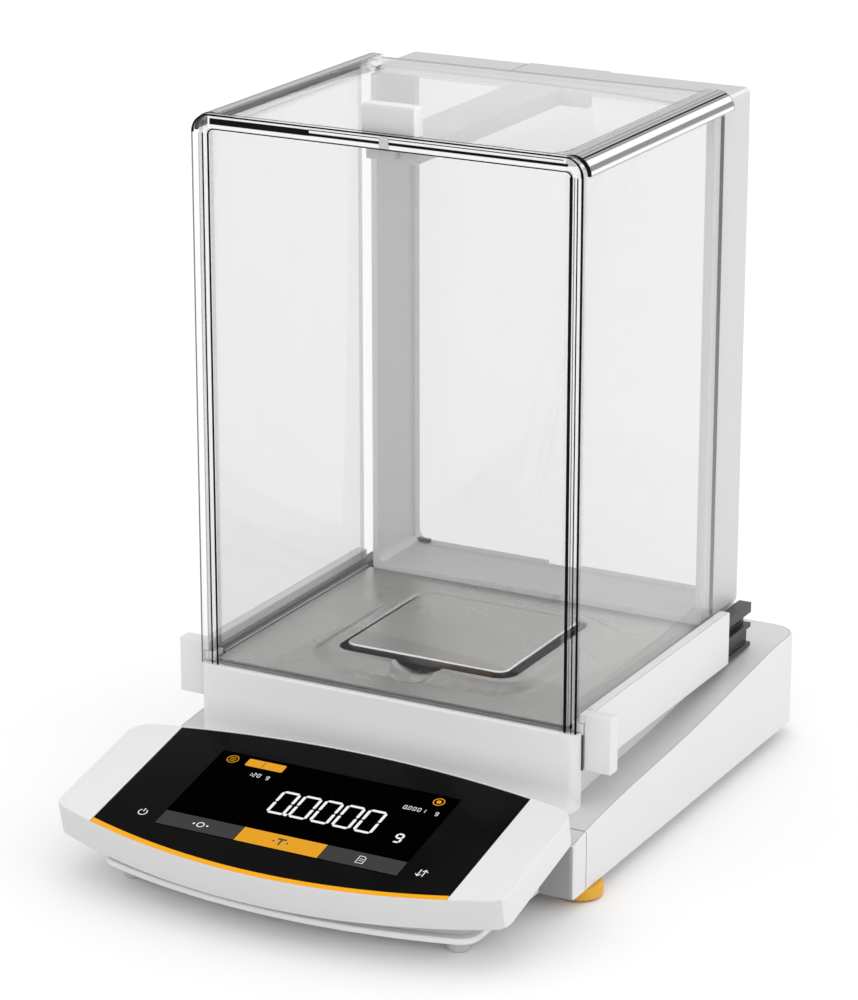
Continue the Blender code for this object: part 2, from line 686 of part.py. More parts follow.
def make_front():
    """The clear front frame, open at its foot, and the pane that it holds."""
    foot = PEDESTAL_TOP + GAP
    inner_half = SHIELD_HALF - FRAME_POST
    inner_top = SHIELD_TOP - FRAME_TOP_BAR
    outline = rounded_outline([
        (-SHIELD_HALF, foot, 0), (-inner_half, foot, 0), (-inner_half, inner_top, 4 * MM),
        (inner_half, inner_top, 4 * MM), (inner_half, foot, 0), (SHIELD_HALF, foot, 0),
        (SHIELD_HALF, SHIELD_TOP, 8 * MM), (-SHIELD_HALF, SHIELD_TOP, 8 * MM),
    ], 4)
    extrude("front_frame", outline, "Y", GLASS_FRONT, FRAME_REAR, MATERIALS["clear_plastic"])
    pane_outline = rounded_outline([
        (-inner_half + GAP, foot, 0), (inner_half - GAP, foot, 0),
        (inner_half - GAP, inner_top - GAP, 3.7 * MM), (-inner_half + GAP, inner_top - GAP, 3.7 * MM),
    ], 3)
    extrude("front_pane", pane_outline, "Y", GLASS_FRONT + 0.6 * MM,
            GLASS_FRONT + 0.6 * MM + GLASS_THICK, MATERIALS["clear_glass"])


def make_roof_rails():
    """Clear corner rails. Each holds the roof glass from the side and a door pane from above."""
    for side, word in ((-1, "left"), (1, "right")):
        outer = ROOF_RAIL_OUTER
        bend = 8 * MM
        slack = 0.4 * MM
        corners = [
            (outer, ROOF_RAIL_BOTTOM, 0),
            (outer, SHIELD_TOP, bend),
            (ROOF_RAIL_INNER, SHIELD_TOP, 0),
            (ROOF_RAIL_INNER, ROOF_GLASS_TOP + slack, 0),
            (ROOF_GLASS_HALF + slack, ROOF_GLASS_TOP + slack, 0),
            (ROOF_GLASS_HALF + slack, ROOF_GLASS_BOTTOM - slack, 0),
            (ROOF_RAIL_INNER + 1 * MM, ROOF_GLASS_BOTTOM - slack, 0),
            (ROOF_RAIL_INNER + 1 * MM, ROOF_RAIL_BOTTOM, 0),
            (PANE_INNER - slack, ROOF_RAIL_BOTTOM, 0),
            (PANE_INNER - slack, PANE_TOP + slack, 0),
            (PANE_OUTER + slack, PANE_TOP + slack, 0),
            (PANE_OUTER + slack, ROOF_RAIL_BOTTOM, 0),
        ]
        outline = [(side * a, b) for a, b in rounded_outline(corners, 4)]
        extrude(f"roof_rail_{word}", outline, "Y", FRAME_REAR + GAP, ROOF_RAIL_REAR,
                MATERIALS["clear_plastic"])


def make_column():
    """The white rear frame with its big window, a cover on its top and the rear pane."""
    white = MATERIALS["white_plastic"]
    column = box("column", (-COLUMN_HALF, COLUMN_HALF), (COLUMN_FRONT, COLUMN_REAR),
                 (PEDESTAL_TOP + GAP, COLUMN_TOP), white)
    window = rectangle(-WINDOW_HALF, WINDOW_HALF, WINDOW_BOTTOM, WINDOW_TOP, 5 * MM, 3)
    front, behind = COLUMN_FRONT - 10 * MM, COLUMN_REAR + 10 * MM
    above = COLUMN_TOP + 10 * MM
    cut(column, extrude("cutter", window, "Y", front, behind, white))
    for side in (-1, 1):
        rail_x = mirrored(ROOF_RAIL_INNER - 0.4 * MM, COLUMN_HALF + 10 * MM, side)
        rail_y = (front, ROOF_RAIL_REAR + 0.5 * MM)
        cut(column, cutter_box(rail_x, rail_y, (ROOF_RAIL_BOTTOM - 0.5 * MM, above)))
    cover_low, cover_high, cover_front = -24 * MM, 16 * MM, 104 * MM
    cover_bottom = COLUMN_TOP - 2 * MM
    cut(column, cutter_box((cover_low, cover_high), (cover_front, behind), (cover_bottom, above)))
    box("column_cover", (cover_low + GAP, cover_high - GAP), (cover_front + GAP, COLUMN_REAR),
        (cover_bottom + GAP, COLUMN_TOP), white)
    notch_z = (WINDOW_BOTTOM - 1.6 * MM, WINDOW_BOTTOM + 1 * MM)
    cut(column, cutter_box((-12 * MM, 5 * MM), (127.4 * MM, behind), notch_z))
    edge = 0.6 * MM
    pane_outline = rectangle(-WINDOW_HALF + edge, WINDOW_HALF - edge,
                             WINDOW_BOTTOM + edge, WINDOW_TOP - edge, 5 * MM, 3)
    extrude("rear_pane", pane_outline, "Y", 124.5 * MM, 126.7 * MM, MATERIALS["clear_glass"])
    for side, word in ((-1, "left"), (1, "right")):
        box(f"pane_clip_{word}", mirrored(60 * MM, 70 * MM, side), (127.1 * MM, 130.5 * MM),
            (WINDOW_BOTTOM + GAP, WINDOW_BOTTOM + 3 * MM), MATERIALS["black_plastic"])


def make_beam():
    """The fixed bar under the roof glass, its screw on the column and its catch at the front."""
    grey = MATERIALS["grey_plastic"]
    rear = COLUMN_FRONT - GAP
    screw_x, screw_z = BEAM_SCREW
    beam = box("roof_beam", (-BEAM_HALF, BEAM_HALF), (BEAM_FRONT, rear), (BEAM_BOTTOM, BEAM_TOP), grey)
    ear_x = (BEAM_HALF - 4.5 * MM, screw_x + 6.5 * MM)
    ear_z = (screw_z - 6.5 * MM, BEAM_TOP - 0.5 * MM)
    add(beam, cutter_box(ear_x, (rear - 2.4 * MM, rear), ear_z))
    cut(beam, cutter_round((screw_x, rear, screw_z), 1.9 * MM, -6 * MM, 6 * MM, "Y", 16))
    slot_y = (BEAM_FRONT + 2.5 * MM, BEAM_FRONT + 8.5 * MM)
    cut(beam, cutter_box((-4 * MM, 4 * MM), slot_y, (BEAM_BOTTOM - 5 * MM, BEAM_BOTTOM + 2 * MM)))
    turned("beam_screw", [
        (0, -4.8 * MM), (3.4 * MM, -4.8 * MM), (3.4 * MM, -2.8 * MM), (1.6 * MM, -2.8 * MM),
        (1.6 * MM, -0.1 * MM), (0, -0.1 * MM),
    ], (screw_x, rear, screw_z), MATERIALS["aluminium"], 16, "Y")
    box("front_catch", (-3 * MM, 3 * MM), (FRAME_REAR + GAP, BEAM_FRONT - GAP),
        (BEAM_BOTTOM, BEAM_TOP), MATERIALS["black_plastic"])


def make_roof():
    """The roof glass with its grip. It slides back over the column."""
    front = FRAME_REAR + 0.5 * MM
    frame = joint_frame("roof_frame", (0, front, ROOF_GLASS_TOP))
    glass = box("roof_glass", (-ROOF_GLASS_HALF, ROOF_GLASS_HALF), (front, 105.8 * MM),
                (ROOF_GLASS_BOTTOM, ROOF_GLASS_TOP), MATERIALS["clear_glass"])
    grip_outline = rounded_outline([
        (front, ROOF_GLASS_TOP + GAP, 0), (front, ROOF_HANDLE_TOP, 3 * MM),
        (front + 8 * MM, ROOF_HANDLE_TOP, 1 * MM), (front + 8 * MM, ROOF_GLASS_TOP + GAP, 0),
    ], 3)
    grip = extrude("roof_handle", grip_outline, "X", -ROOF_HANDLE_HALF, ROOF_HANDLE_HALF,
                   MATERIALS["white_plastic"])
    carry(frame, glass, grip)


def make_doors():
    """Two side doors: a pane in a white skirt with a grip, running on a black rail.

    The rail has two grooves in its outer side for the skirt's runners.
    """
    white = MATERIALS["white_plastic"]
    for side, word in ((-1, "left"), (1, "right")):
        frame = joint_frame(f"door_frame_{word}", (side * RAIL_OUTER, 0, DOOR_BOTTOM))
        pane = box(f"side_pane_{word}", mirrored(PANE_INNER, PANE_OUTER, side),
                   (FRAME_REAR + GAP, PANE_REAR), (PANE_BOTTOM, PANE_TOP), MATERIALS["clear_glass"])
        skirt_front = FRAME_REAR + GAP + DOOR_HANDLE_DEPTH + GAP
        skirt_inner = RAIL_OUTER + 0.4 * MM
        skirt_outline = [
            (side * skirt_inner, DOOR_BOTTOM), (side * DOOR_OUTER, DOOR_BOTTOM),
            (side * DOOR_OUTER, DOOR_TOP), (side * (PANE_OUTER + GAP), DOOR_TOP),
            (side * (PANE_OUTER + GAP), PANE_BOTTOM), (side * skirt_inner, PANE_BOTTOM),
        ]
        skirt = extrude(f"door_skirt_{word}", skirt_outline, "Y", skirt_front, DOOR_REAR, white)
        grip_front, grip_rear = FRAME_REAR + GAP, skirt_front - GAP
        grip_plan = [
            (side * skirt_inner, grip_front, 0),
            (side * DOOR_HANDLE_OUTER, grip_front, 1.5 * MM),
            (side * DOOR_HANDLE_OUTER, grip_rear, 1.5 * MM),
            (side * skirt_inner, grip_rear, 0),
        ]
        grip = extrude(f"door_handle_{word}", rounded_outline(grip_plan, 3), "Z",
                       DOOR_BOTTOM - 0.4 * MM, DOOR_TOP, white)
        add(grip, cutter_box(mirrored(PANE_OUTER + GAP, skirt_inner + 1 * MM, side),
                             (grip_front + 0.1 * MM, grip_rear - 0.1 * MM),
                             (PANE_BOTTOM, DOOR_TOP - 0.1 * MM)))
        carry(frame, pane, skirt, grip)

        shallow, deep = RAIL_OUTER - 2 * MM, RAIL_OUTER - 3.6 * MM
        rail_outline = [(RAIL_INNER, RAIL_BOTTOM), (RAIL_OUTER, RAIL_BOTTOM)]
        for depth, low, high in ((shallow, 51 * MM, 58 * MM), (deep, 60.2 * MM, 65 * MM)):
            rail_outline += [(RAIL_OUTER, low), (depth, low), (depth, high), (RAIL_OUTER, high)]
        rail_outline += [(RAIL_OUTER, RAIL_TOP), (RAIL_INNER, RAIL_TOP)]
        extrude(f"door_rail_{word}", [(side * a, b) for a, b in rail_outline], "Y",
                skirt_front, RAIL_REAR, MATERIALS["black_plastic"])


# ---------------------------------------------------------------- weighing system


def make_pan():
    """The pan, which lifts off its support, and the support, which lifts out of the cell."""
    steel = MATERIALS["brushed_steel"]
    frame = joint_frame("pan_frame", (0, PAN_Y, PAN_TOP))
    front, rear = PAN_Y - PAN_HALF_Y, PAN_Y + PAN_HALF_Y
    outline = rectangle(-PAN_HALF_X, PAN_HALF_X, front, rear, PAN_CORNER)
    pan = extrude("weighing_pan", outline, "Z", PAN_TOP - PAN_RIM, PAN_TOP, steel)
    inner = rectangle(PAN_THICK - PAN_HALF_X, PAN_HALF_X - PAN_THICK,
                      front + PAN_THICK, rear - PAN_THICK, PAN_CORNER - PAN_THICK)
    cut(pan, extrude("cutter", inner, "Z", PAN_TOP - 9 * MM, PAN_TOP - PAN_THICK, steel))
    carry(frame, pan)

    support_frame = joint_frame("pan_support_frame", (0, PAN_Y, CELL_TOP))
    top = PAN_TOP - PAN_THICK - GAP
    arm, half_width = 31 * MM, 6 * MM
    support = box("pan_support", (-arm, arm), (PAN_Y - half_width, PAN_Y + half_width),
                  (top - 2.5 * MM, top), MATERIALS["aluminium"])
    cross = box("helper", (-half_width, half_width), (PAN_Y - arm, PAN_Y + arm),
                (top - 2.7 * MM, top - 0.1 * MM), MATERIALS["aluminium"])
    stem = turned("helper", [
        (0, 40 * MM), (2.4 * MM, 40 * MM), (3.4 * MM, 52 * MM), (3.4 * MM, 63 * MM),
        (8 * MM, 65 * MM), (8 * MM, top - 1 * MM), (0, top - 1 * MM),
    ], (0, PAN_Y, 0), MATERIALS["aluminium"], 20)
    add(support, cross, stem)
    carry(support_frame, support)


def make_weigh_cell():
    """A monolithic force cell cut into a parallelogram, with its magnet, lever and coil."""
    metal = MATERIALS["aluminium"]
    cell = box("weigh_cell", (-CELL_HALF, CELL_HALF), (CELL_FRONT, CELL_REAR),
               (CELL_BOTTOM, CELL_TOP), metal)
    across = (-CELL_HALF - 10 * MM, CELL_HALF + 10 * MM)
    long_slot = (CELL_FRONT + 26 * MM, CELL_REAR - 12 * MM)
    cut(cell, cutter_box(across, long_slot, (CELL_TOP - 5 * MM, CELL_TOP - 3 * MM)))
    cut(cell, cutter_box(across, long_slot, (CELL_BOTTOM + 3 * MM, CELL_BOTTOM + 5 * MM)))
    cut(cell, cutter_box(across, (CELL_FRONT + 33 * MM, CELL_FRONT + 35 * MM),
                         (CELL_BOTTOM + 4 * MM, CELL_TOP - 4 * MM)))
    cut(cell, cutter_box((-6 * MM, 6 * MM), (CELL_REAR - 26 * MM, CELL_REAR + 5 * MM),
                         (31 * MM, 42 * MM)))
    cut(cell, cutter_round((0, PAN_Y, 0), 4.2 * MM, 36 * MM, 60 * MM, segments=20))

    turned("magnet_system", [
        (0, 13 * MM), (MAGNET_RADIUS, 13 * MM), (MAGNET_RADIUS, 33 * MM), (15 * MM, 33 * MM),
        (15 * MM, 18 * MM), (9 * MM, 18 * MM), (9 * MM, 33 * MM), (0, 33 * MM),
    ], (0, MAGNET_Y, 0), MATERIALS["black_plastic"])
    coil = turned("coil_lever", [
        (11 * MM, 22 * MM), (13 * MM, 22 * MM), (13 * MM, 38 * MM), (0, 38 * MM), (0, 35 * MM),
        (11 * MM, 35 * MM), (11 * MM, 22 * MM),
    ], (0, MAGNET_Y, 0), MATERIALS["brass"], 24)
    arm = box("helper", (-4 * MM, 4 * MM), (CELL_REAR - 24 * MM, MAGNET_Y), (35.5 * MM, 37.5 * MM),
              MATERIALS["brass"])
    add(coil, arm)


def make_calibration_drive():
    """The built-in adjustment weight, which a motor lowers with a spindle."""
    steel = MATERIALS["brushed_steel"]
    spindle_frame = joint_frame("cal_spindle_frame", (CAL_X, CAL_Y, 0))
    turned("cal_motor", [
        (0, 12 * MM), (9 * MM, 12 * MM), (9 * MM, 23 * MM), (0, 23 * MM),
    ], (CAL_X, CAL_Y, 0), MATERIALS["aluminium"], 20)
    spindle = turned("cal_spindle", [
        (0, 23 * MM + GAP), (2.2 * MM, 23 * MM + GAP), (2.2 * MM, 50 * MM), (0, 50 * MM),
    ], (CAL_X, CAL_Y, 0), steel, 16)
    carry(spindle_frame, spindle)

    lifter_frame = joint_frame("cal_lifter_frame", (CAL_X, CAL_Y, 34 * MM))
    lifter = box("cal_lifter", (CAL_WEIGHT_X - 8 * MM, CAL_X + 7 * MM),
                 (CAL_Y - 7 * MM, CAL_Y + 7 * MM), (33 * MM, 36 * MM), MATERIALS["grey_plastic"])
    cut(lifter, cutter_round((CAL_X, CAL_Y, 0), 2.6 * MM, 20 * MM, 50 * MM, segments=16))
    weight = turned("cal_weight", [
        (0, 36 * MM + GAP), (8 * MM, 36 * MM + GAP), (8.4 * MM, 37 * MM),
        (8.4 * MM, 51 * MM), (8 * MM, 51.6 * MM), (0, 51.6 * MM),
    ], (CAL_WEIGHT_X, CAL_Y, 0), steel, 24)
    carry(lifter_frame, lifter, weight)


def make_main_board():
    """The electronics board with its larger parts, each (low x, low y, high x, high y, height)."""
    green = MATERIALS["circuit_board"]
    top = 17.6 * MM
    board = box("main_board", (30 * MM, 94 * MM), (40 * MM, 140 * MM), (top - 1.6 * MM, top), green)
    chips = [(40, 60, 52, 70, 3), (70, 58, 84, 66, 2.4), (46, 100, 58, 128, 9), (72, 96, 88, 120, 6)]
    for x0, y0, x1, y1, height in chips:
        rise = (top - 0.6 * MM, top + height * MM)
        add(board, cutter_box((x0 * MM, x1 * MM), (y0 * MM, y1 * MM), rise))
    return board


def main():
    clear_scene()
    for name, look in MATERIAL_LOOKS.items():
        MATERIALS[name] = make_material(name, *look)
    make_base_tray()
    make_main_housing()
    make_front_housing()
    make_rear_panel()
    make_sockets()
    make_bubble_level()
    make_feet()
    make_hook_cover()
    make_display()
    make_floor_plate()
    make_front()
    make_roof_rails()
    make_column()
    make_beam()
    make_roof()
    make_doors()
    make_pan()
    make_weigh_cell()
    make_calibration_drive()
    make_main_board()


main()
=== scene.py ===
"""How the analytical balance looks: detailed pieces, materials, light and camera.

Metres, +Z up, with the display looking towards -Y and +X on the user's right. The pieces are
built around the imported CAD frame: their places come from its nodes' boxes, and their fine
shapes from the named sizes below.
"""

import math

import bmesh
import bpy
from mathutils import Matrix, Vector


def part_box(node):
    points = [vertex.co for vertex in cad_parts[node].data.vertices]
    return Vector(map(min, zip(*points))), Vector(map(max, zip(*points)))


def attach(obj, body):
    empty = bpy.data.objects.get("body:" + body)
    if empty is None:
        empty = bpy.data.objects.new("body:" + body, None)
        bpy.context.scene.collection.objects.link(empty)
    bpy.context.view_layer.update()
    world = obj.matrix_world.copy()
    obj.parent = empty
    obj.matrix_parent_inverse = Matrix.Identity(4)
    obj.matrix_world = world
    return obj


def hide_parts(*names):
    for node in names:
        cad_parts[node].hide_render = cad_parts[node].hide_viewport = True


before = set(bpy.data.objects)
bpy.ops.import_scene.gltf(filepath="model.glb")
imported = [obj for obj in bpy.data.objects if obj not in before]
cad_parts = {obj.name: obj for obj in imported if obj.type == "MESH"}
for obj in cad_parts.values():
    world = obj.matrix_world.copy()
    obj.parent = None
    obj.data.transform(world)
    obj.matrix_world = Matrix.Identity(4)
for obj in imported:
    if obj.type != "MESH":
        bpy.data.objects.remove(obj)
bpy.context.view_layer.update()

MM = 0.001
GAP = 0.3 * MM  # clearance between neighbouring pieces
SIDES = ((-1, "left"), (1, "right"))

# ---------------------------------------------------------------- mesh helpers

AXES = {
    "X": lambda a, b, h: (h, a, b),
    "Y": lambda a, b, h: (a, h, b),
    "Z": lambda a, b, h: (a, b, h),
}


def mm(*values):
    return tuple(value * MM for value in values)


def low(node):
    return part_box(node)[0]


def high(node):
    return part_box(node)[1]


def middle_of(node):
    return (low(node) + high(node)) / 2


def rounded(corners, steps=6):
    """A closed outline through the corners (a, b, radius), each rounded by its own radius."""
    outline = []
    for index, (a, b, radius) in enumerate(corners):
        here = Vector((a, b))
        if not radius:
            outline.append(here)
            continue
        back = (Vector(corners[index - 1][:2]) - here).normalized()
        ahead = (Vector(corners[(index + 1) % len(corners)][:2]) - here).normalized()
        half = back.angle(ahead) / 2
        centre = here + (back + ahead).normalized() * radius / math.sin(half)
        spoke = here + back * radius / math.tan(half) - centre
        side = 1 if back.cross(ahead) < 0 else -1
        for step in range(steps + 1):
            turn = side * (math.pi - 2 * half) * step / steps
            outline.append(centre + Matrix.Rotation(turn, 2) @ spoke)
    return outline


def rectangle(a_span, b_span, radius=0, steps=6):
    (a0, a1), (b0, b1) = sorted(a_span), sorted(b_span)
    return rounded([(a0, b0, radius), (a1, b0, radius), (a1, b1, radius), (a0, b1, radius)], steps)


def on_side(side, outline):
    return [Vector((side * p.x, p.y)) for p in outline]


def both_sides(right):
    """A right half's outline and its mirror image, without the points on the middle line."""
    right = [p for p in right if p.x > 1e-6]
    return right + on_side(-1, reversed(right))


def signed_area(outline):
    return sum(outline[i - 1].cross(outline[i]) for i in range(len(outline))) / 2


def inset(outline, distance):
    """The outline drawn in by a distance, with mitred corners."""
    if not distance:
        return list(outline)
    inward = 1 if signed_area(outline) > 0 else -1
    moved = []
    for index, here in enumerate(outline):
        back = (here - outline[index - 1]).normalized()
        ahead = (outline[(index + 1) % len(outline)] - here).normalized()
        first = Vector((-back.y, back.x)) * inward
        second = Vector((-ahead.y, ahead.x)) * inward
        moved.append(here + (first + second) * distance / (1 + first.dot(second)))
    return moved


def rounding(bottom, top, round_bottom, round_top, steps=4):
    """Levels (inset, height) of a side wall whose two ends are rounded over."""
    levels = []
    for step in range(steps + 1 if round_bottom else 1):
        turn = math.pi / 2 * (step / steps if round_bottom else 1)
        levels.append((round_bottom * (1 - math.sin(turn)),
                       bottom + round_bottom * (1 - math.cos(turn))))
    for step in range(steps + 1 if round_top else 1):
        turn = math.pi / 2 * (step / steps if round_top else 0)
        levels.append((round_top * (1 - math.cos(turn)), top - round_top * (1 - math.sin(turn))))
    return levels


def mesh_object(name, points, faces):
    mesh = bpy.data.meshes.new(name)
    mesh.from_pydata([tuple(point) for point in points], [], faces)
    mesh.validate()
    mesh.update()
    made = bpy.data.objects.new(name, mesh)
    bpy.context.scene.collection.objects.link(made)
    return made


def loft(name, rings, caps=(True, True)):
    """A skin through closed rings of equally many points, closed by a flat face at each end."""
    count = len(rings[0])
    points = [point for ring in rings for point in ring]
    faces = []
    for level in range(len(rings) - 1):
        for index in range(count):
            a, b = level * count + index, level * count + (index + 1) % count
            faces.append((a, b, b + count, a + count))
    if caps[0]:
        faces.append(tuple(reversed(range(count))))
    if caps[1]:
        last = (len(rings) - 1) * count
        faces.append(tuple(range(last, last + count)))
    made = mesh_object(name, points, faces)
    face_outwards(made)
    return made


def face_outwards(made):
    """Turns the faces so that the closed shape's volume is positive."""
    volume = 0
    points = made.data.vertices
    for face in made.data.polygons:
        corners = [points[i].co for i in face.vertices]
        for i in range(1, len(corners) - 1):
            volume += corners[0].dot(corners[i].cross(corners[i + 1]))
    if volume < 0:
        made.data.flip_normals()


def slab(name, outline, bottom, top, axis="Z", round_bottom=0, round_top=0, steps=4):
    """A plate of the outline's shape from bottom to top along the axis, with rounded rims."""
    turn = AXES[axis]
    rings = []
    for draw_in, height in rounding(bottom, top, round_bottom, round_top, steps):
        rings.append([turn(p.x, p.y, height) for p in inset(outline, draw_in)])
    return loft(name, rings)


def block(name, x_span, y_span, z_span, radius=0, rim=0, axis="Z", steps=4):
    """A box. Radius rounds its edges along the axis, and rim rounds the ends of the axis."""
    spans = {"X": (y_span, z_span, x_span), "Y": (x_span, z_span, y_span),
             "Z": (x_span, y_span, z_span)}[axis]
    bottom, top = sorted(spans[2])
    return slab(name, rectangle(spans[0], spans[1], radius, steps), bottom, top, axis, rim, rim, steps)


def turned(name, profile, centre, axis="Z", segments=48):
    """A shape of revolution: profile points are (radius, height along the axis)."""
    turn = AXES[axis]
    rings = []
    for radius, height in profile:
        ring = []
        for step in range(segments):
            angle = 2 * math.pi * step / segments
            spot = turn(radius * math.cos(angle), radius * math.sin(angle), height)
            ring.append(Vector(spot) + Vector(centre))
        rings.append(ring)
    return loft(name, rings)


def combine(piece, helper, operation):
    """Applies a boolean with a helper, and removes the helper."""
    modifier = piece.modifiers.new("combine", "BOOLEAN")
    modifier.operation = operation
    modifier.object = helper
    modifier.solver = "EXACT"
    result = piece.evaluated_get(bpy.context.evaluated_depsgraph_get())
    mesh = bpy.data.meshes.new_from_object(result)
    piece.modifiers.clear()
    piece.data = mesh
    bpy.data.objects.remove(helper)
    return piece


def cut(piece, *helpers):
    for helper in helpers:
        combine(piece, helper, "DIFFERENCE")
    return piece


def finish_piece(made, look, body="root", stands_for=(), sharp=35):
    """Gives a new piece its material, its smooth shading and its place on the CAD frame."""
    made.data.materials.clear()
    made.data.materials.append(LOOKS[look])
    made.data.shade_smooth()
    made.data.set_sharp_from_angle(angle=math.radians(sharp))
    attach(made, body)
    if stands_for:
        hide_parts(*stands_for)
    return made


def trim(name, spans, look, body="root", stands_for=(), slot=None, **rounding_off):
    """A finished piece that is a plain box. Spans are its x, y and z, low and high."""
    return finish_piece(block(name, *spans, **rounding_off), look, body, stands_for)


def relook(made, look, chosen):
    """Gives another look to those faces for which chosen(face) is true."""
    made.data.materials.append(LOOKS[look])
    index = len(made.data.materials) - 1
    for face in made.data.polygons:
        if chosen(face):
            face.material_index = index


def soften(name, look, width=0.3 * MM, segments=2):
    """A CAD node that stays: its facets joined, its edges rounded, in its own material."""
    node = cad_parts[name]
    node.data.materials.clear()
    node.data.materials.append(LOOKS[look])
    weld = node.modifiers.new("weld", "WELD")
    weld.merge_threshold = 0.00001
    dissolve = node.modifiers.new("dissolve", "DECIMATE")
    dissolve.decimate_type = "DISSOLVE"
    dissolve.angle_limit = math.radians(1)
    bevel = node.modifiers.new("bevel", "BEVEL")
    bevel.width = width
    bevel.segments = segments
    bevel.limit_method = "ANGLE"
    bevel.angle_limit = math.radians(32)
    node.data.shade_smooth()
    node.data.set_sharp_from_angle(angle=math.radians(32))
    node.modifiers.new("normals", "WEIGHTED_NORMAL").keep_sharp = True
    return node


# ---------------------------------------------------------------- materials

LOOKS = {}


class Graph:
    """A material's nodes. Each call adds one node, and most give back its output socket."""

    def __init__(self, name):
        self.name = name
        self.material = bpy.data.materials.new(name)
        self.material.use_nodes = True
        self.tree = self.material.node_tree
        self.tree.nodes.clear()
        self.coordinates = self.node("ShaderNodeTexCoord").outputs["Object"]

    def node(self, kind, inputs=None, **settings):
        made = self.tree.nodes.new(kind)
        for key, value in settings.items():
            setattr(made, key, value)
        for key, value in (inputs or {}).items():
            if isinstance(value, bpy.types.NodeSocket):
                self.tree.links.new(value, made.inputs[key])
            else:
                made.inputs[key].default_value = value
        return made

    def noise(self, size, stretch=(1, 1, 1), detail=2):
        """Noise whose grains are about this size in metres, drawn out along the axes."""
        scale = tuple(1 / (size * s) for s in stretch)
        mapping = self.node("ShaderNodeMapping", {"Vector": self.coordinates, "Scale": scale})
        grains = {"Vector": mapping.outputs[0], "Scale": 1, "Detail": detail}
        return self.node("ShaderNodeTexNoise", grains).outputs["Fac"]

    def spread(self, value, lowest, highest, start=0.3, end=0.7):
        inputs = {"Value": value, "From Min": start, "From Max": end,
                  "To Min": lowest, "To Max": highest}
        return self.node("ShaderNodeMapRange", inputs).outputs[0]

    def colours(self, factor, first, second):
        inputs = {0: factor, 6: (*first, 1), 7: (*second, 1)}
        return self.node("ShaderNodeMix", inputs, data_type="RGBA").outputs[2]

    def bump(self, height, strength, distance):
        inputs = {"Height": height, "Strength": strength, "Distance": distance}
        return self.node("ShaderNodeBump", inputs).outputs[0]

    def principled(self, inputs):
        return self.node("ShaderNodeBsdfPrincipled", inputs).outputs[0]

    def grazing(self, straight_on=0.04):
        """How much a glass surface mirrors, the same from inside and outside."""
        facing = self.node("ShaderNodeLayerWeight", {"Blend": 0.5}).outputs["Facing"]
        power = self.node("ShaderNodeMath", {0: facing, 1: 5.0}, operation="POWER").outputs[0]
        return self.spread(power, straight_on, 1, 0, 1)

    def finish(self, shader):
        """Connects the shader, and files the material under its name."""
        self.node("ShaderNodeOutputMaterial", {"Surface": shader})
        LOOKS[self.name] = self.material


def shade(colour, factor):
    return tuple(min(1, value * factor) for value in colour)


def moulded(name, colour, roughness, grain=0.5 * MM, depth=0.012 * MM, mottle=0.015, specular=0.5):
    """Moulded plastic: a fine texture, a slightly uneven gloss and a faint mottle."""
    graph = Graph(name)
    fine, broad = graph.noise(grain), graph.noise(28 * MM, detail=3)
    graph.finish(graph.principled({
        "Base Color": graph.colours(broad, shade(colour, 1 - mottle), shade(colour, 1 + mottle)),
        "Roughness": graph.spread(fine, roughness - 0.05, roughness + 0.06),
        "Specular IOR Level": specular,
        "Normal": graph.bump(fine, 0.5, depth),
    }))


def brushed(name, colour, roughness, stretch=(60, 1, 1), grain=0.22 * MM, depth=0.01 * MM,
            contrast=0.1):
    """Brushed metal: hairlines along one axis in colour, gloss and relief."""
    graph = Graph(name)
    lines = graph.noise(grain, stretch, detail=3)
    cloud = graph.noise(22 * MM, detail=3)
    tone = graph.colours(lines, shade(colour, 1 - contrast), shade(colour, 1 + contrast))
    graph.finish(graph.principled({
        "Base Color": tone,
        "Metallic": 1,
        "Roughness": graph.spread(cloud, roughness - 0.05, roughness + 0.06),
        "Normal": graph.bump(lines, 0.6, depth),
    }))


def clear(name, tint, mirror=0.04, roughness=0.015):
    """Thin glass: what is behind it shows through its tint, and the room mirrors in it."""
    graph = Graph(name)
    smudges = graph.noise(35 * MM, detail=4)
    through = graph.node("ShaderNodeBsdfTransparent",
                         {"Color": graph.colours(smudges, shade(tint, 0.995), shade(tint, 1.004))})
    gloss = graph.node("ShaderNodeBsdfGlossy", {
        "Color": (0.96, 0.97, 0.97, 1),
        "Roughness": graph.spread(smudges, roughness * 0.4, roughness * 1.6)})
    mixed = graph.node("ShaderNodeMixShader",
                       {0: graph.grazing(mirror), 1: through.outputs[0], 2: gloss.outputs[0]})
    graph.finish(mixed.outputs[0])


def lit(name, colour, strength=1.0):
    """A lit area of the screen, made of fine dots."""
    graph = Graph(name)
    dots = graph.noise(0.25 * MM, detail=0)
    tone = graph.colours(dots, shade(colour, 0.94), shade(colour, 1.0))
    graph.finish(graph.node("ShaderNodeEmission",
                                   {"Color": tone, "Strength": strength}).outputs[0])


def grey(value):
    return (value, value, value)


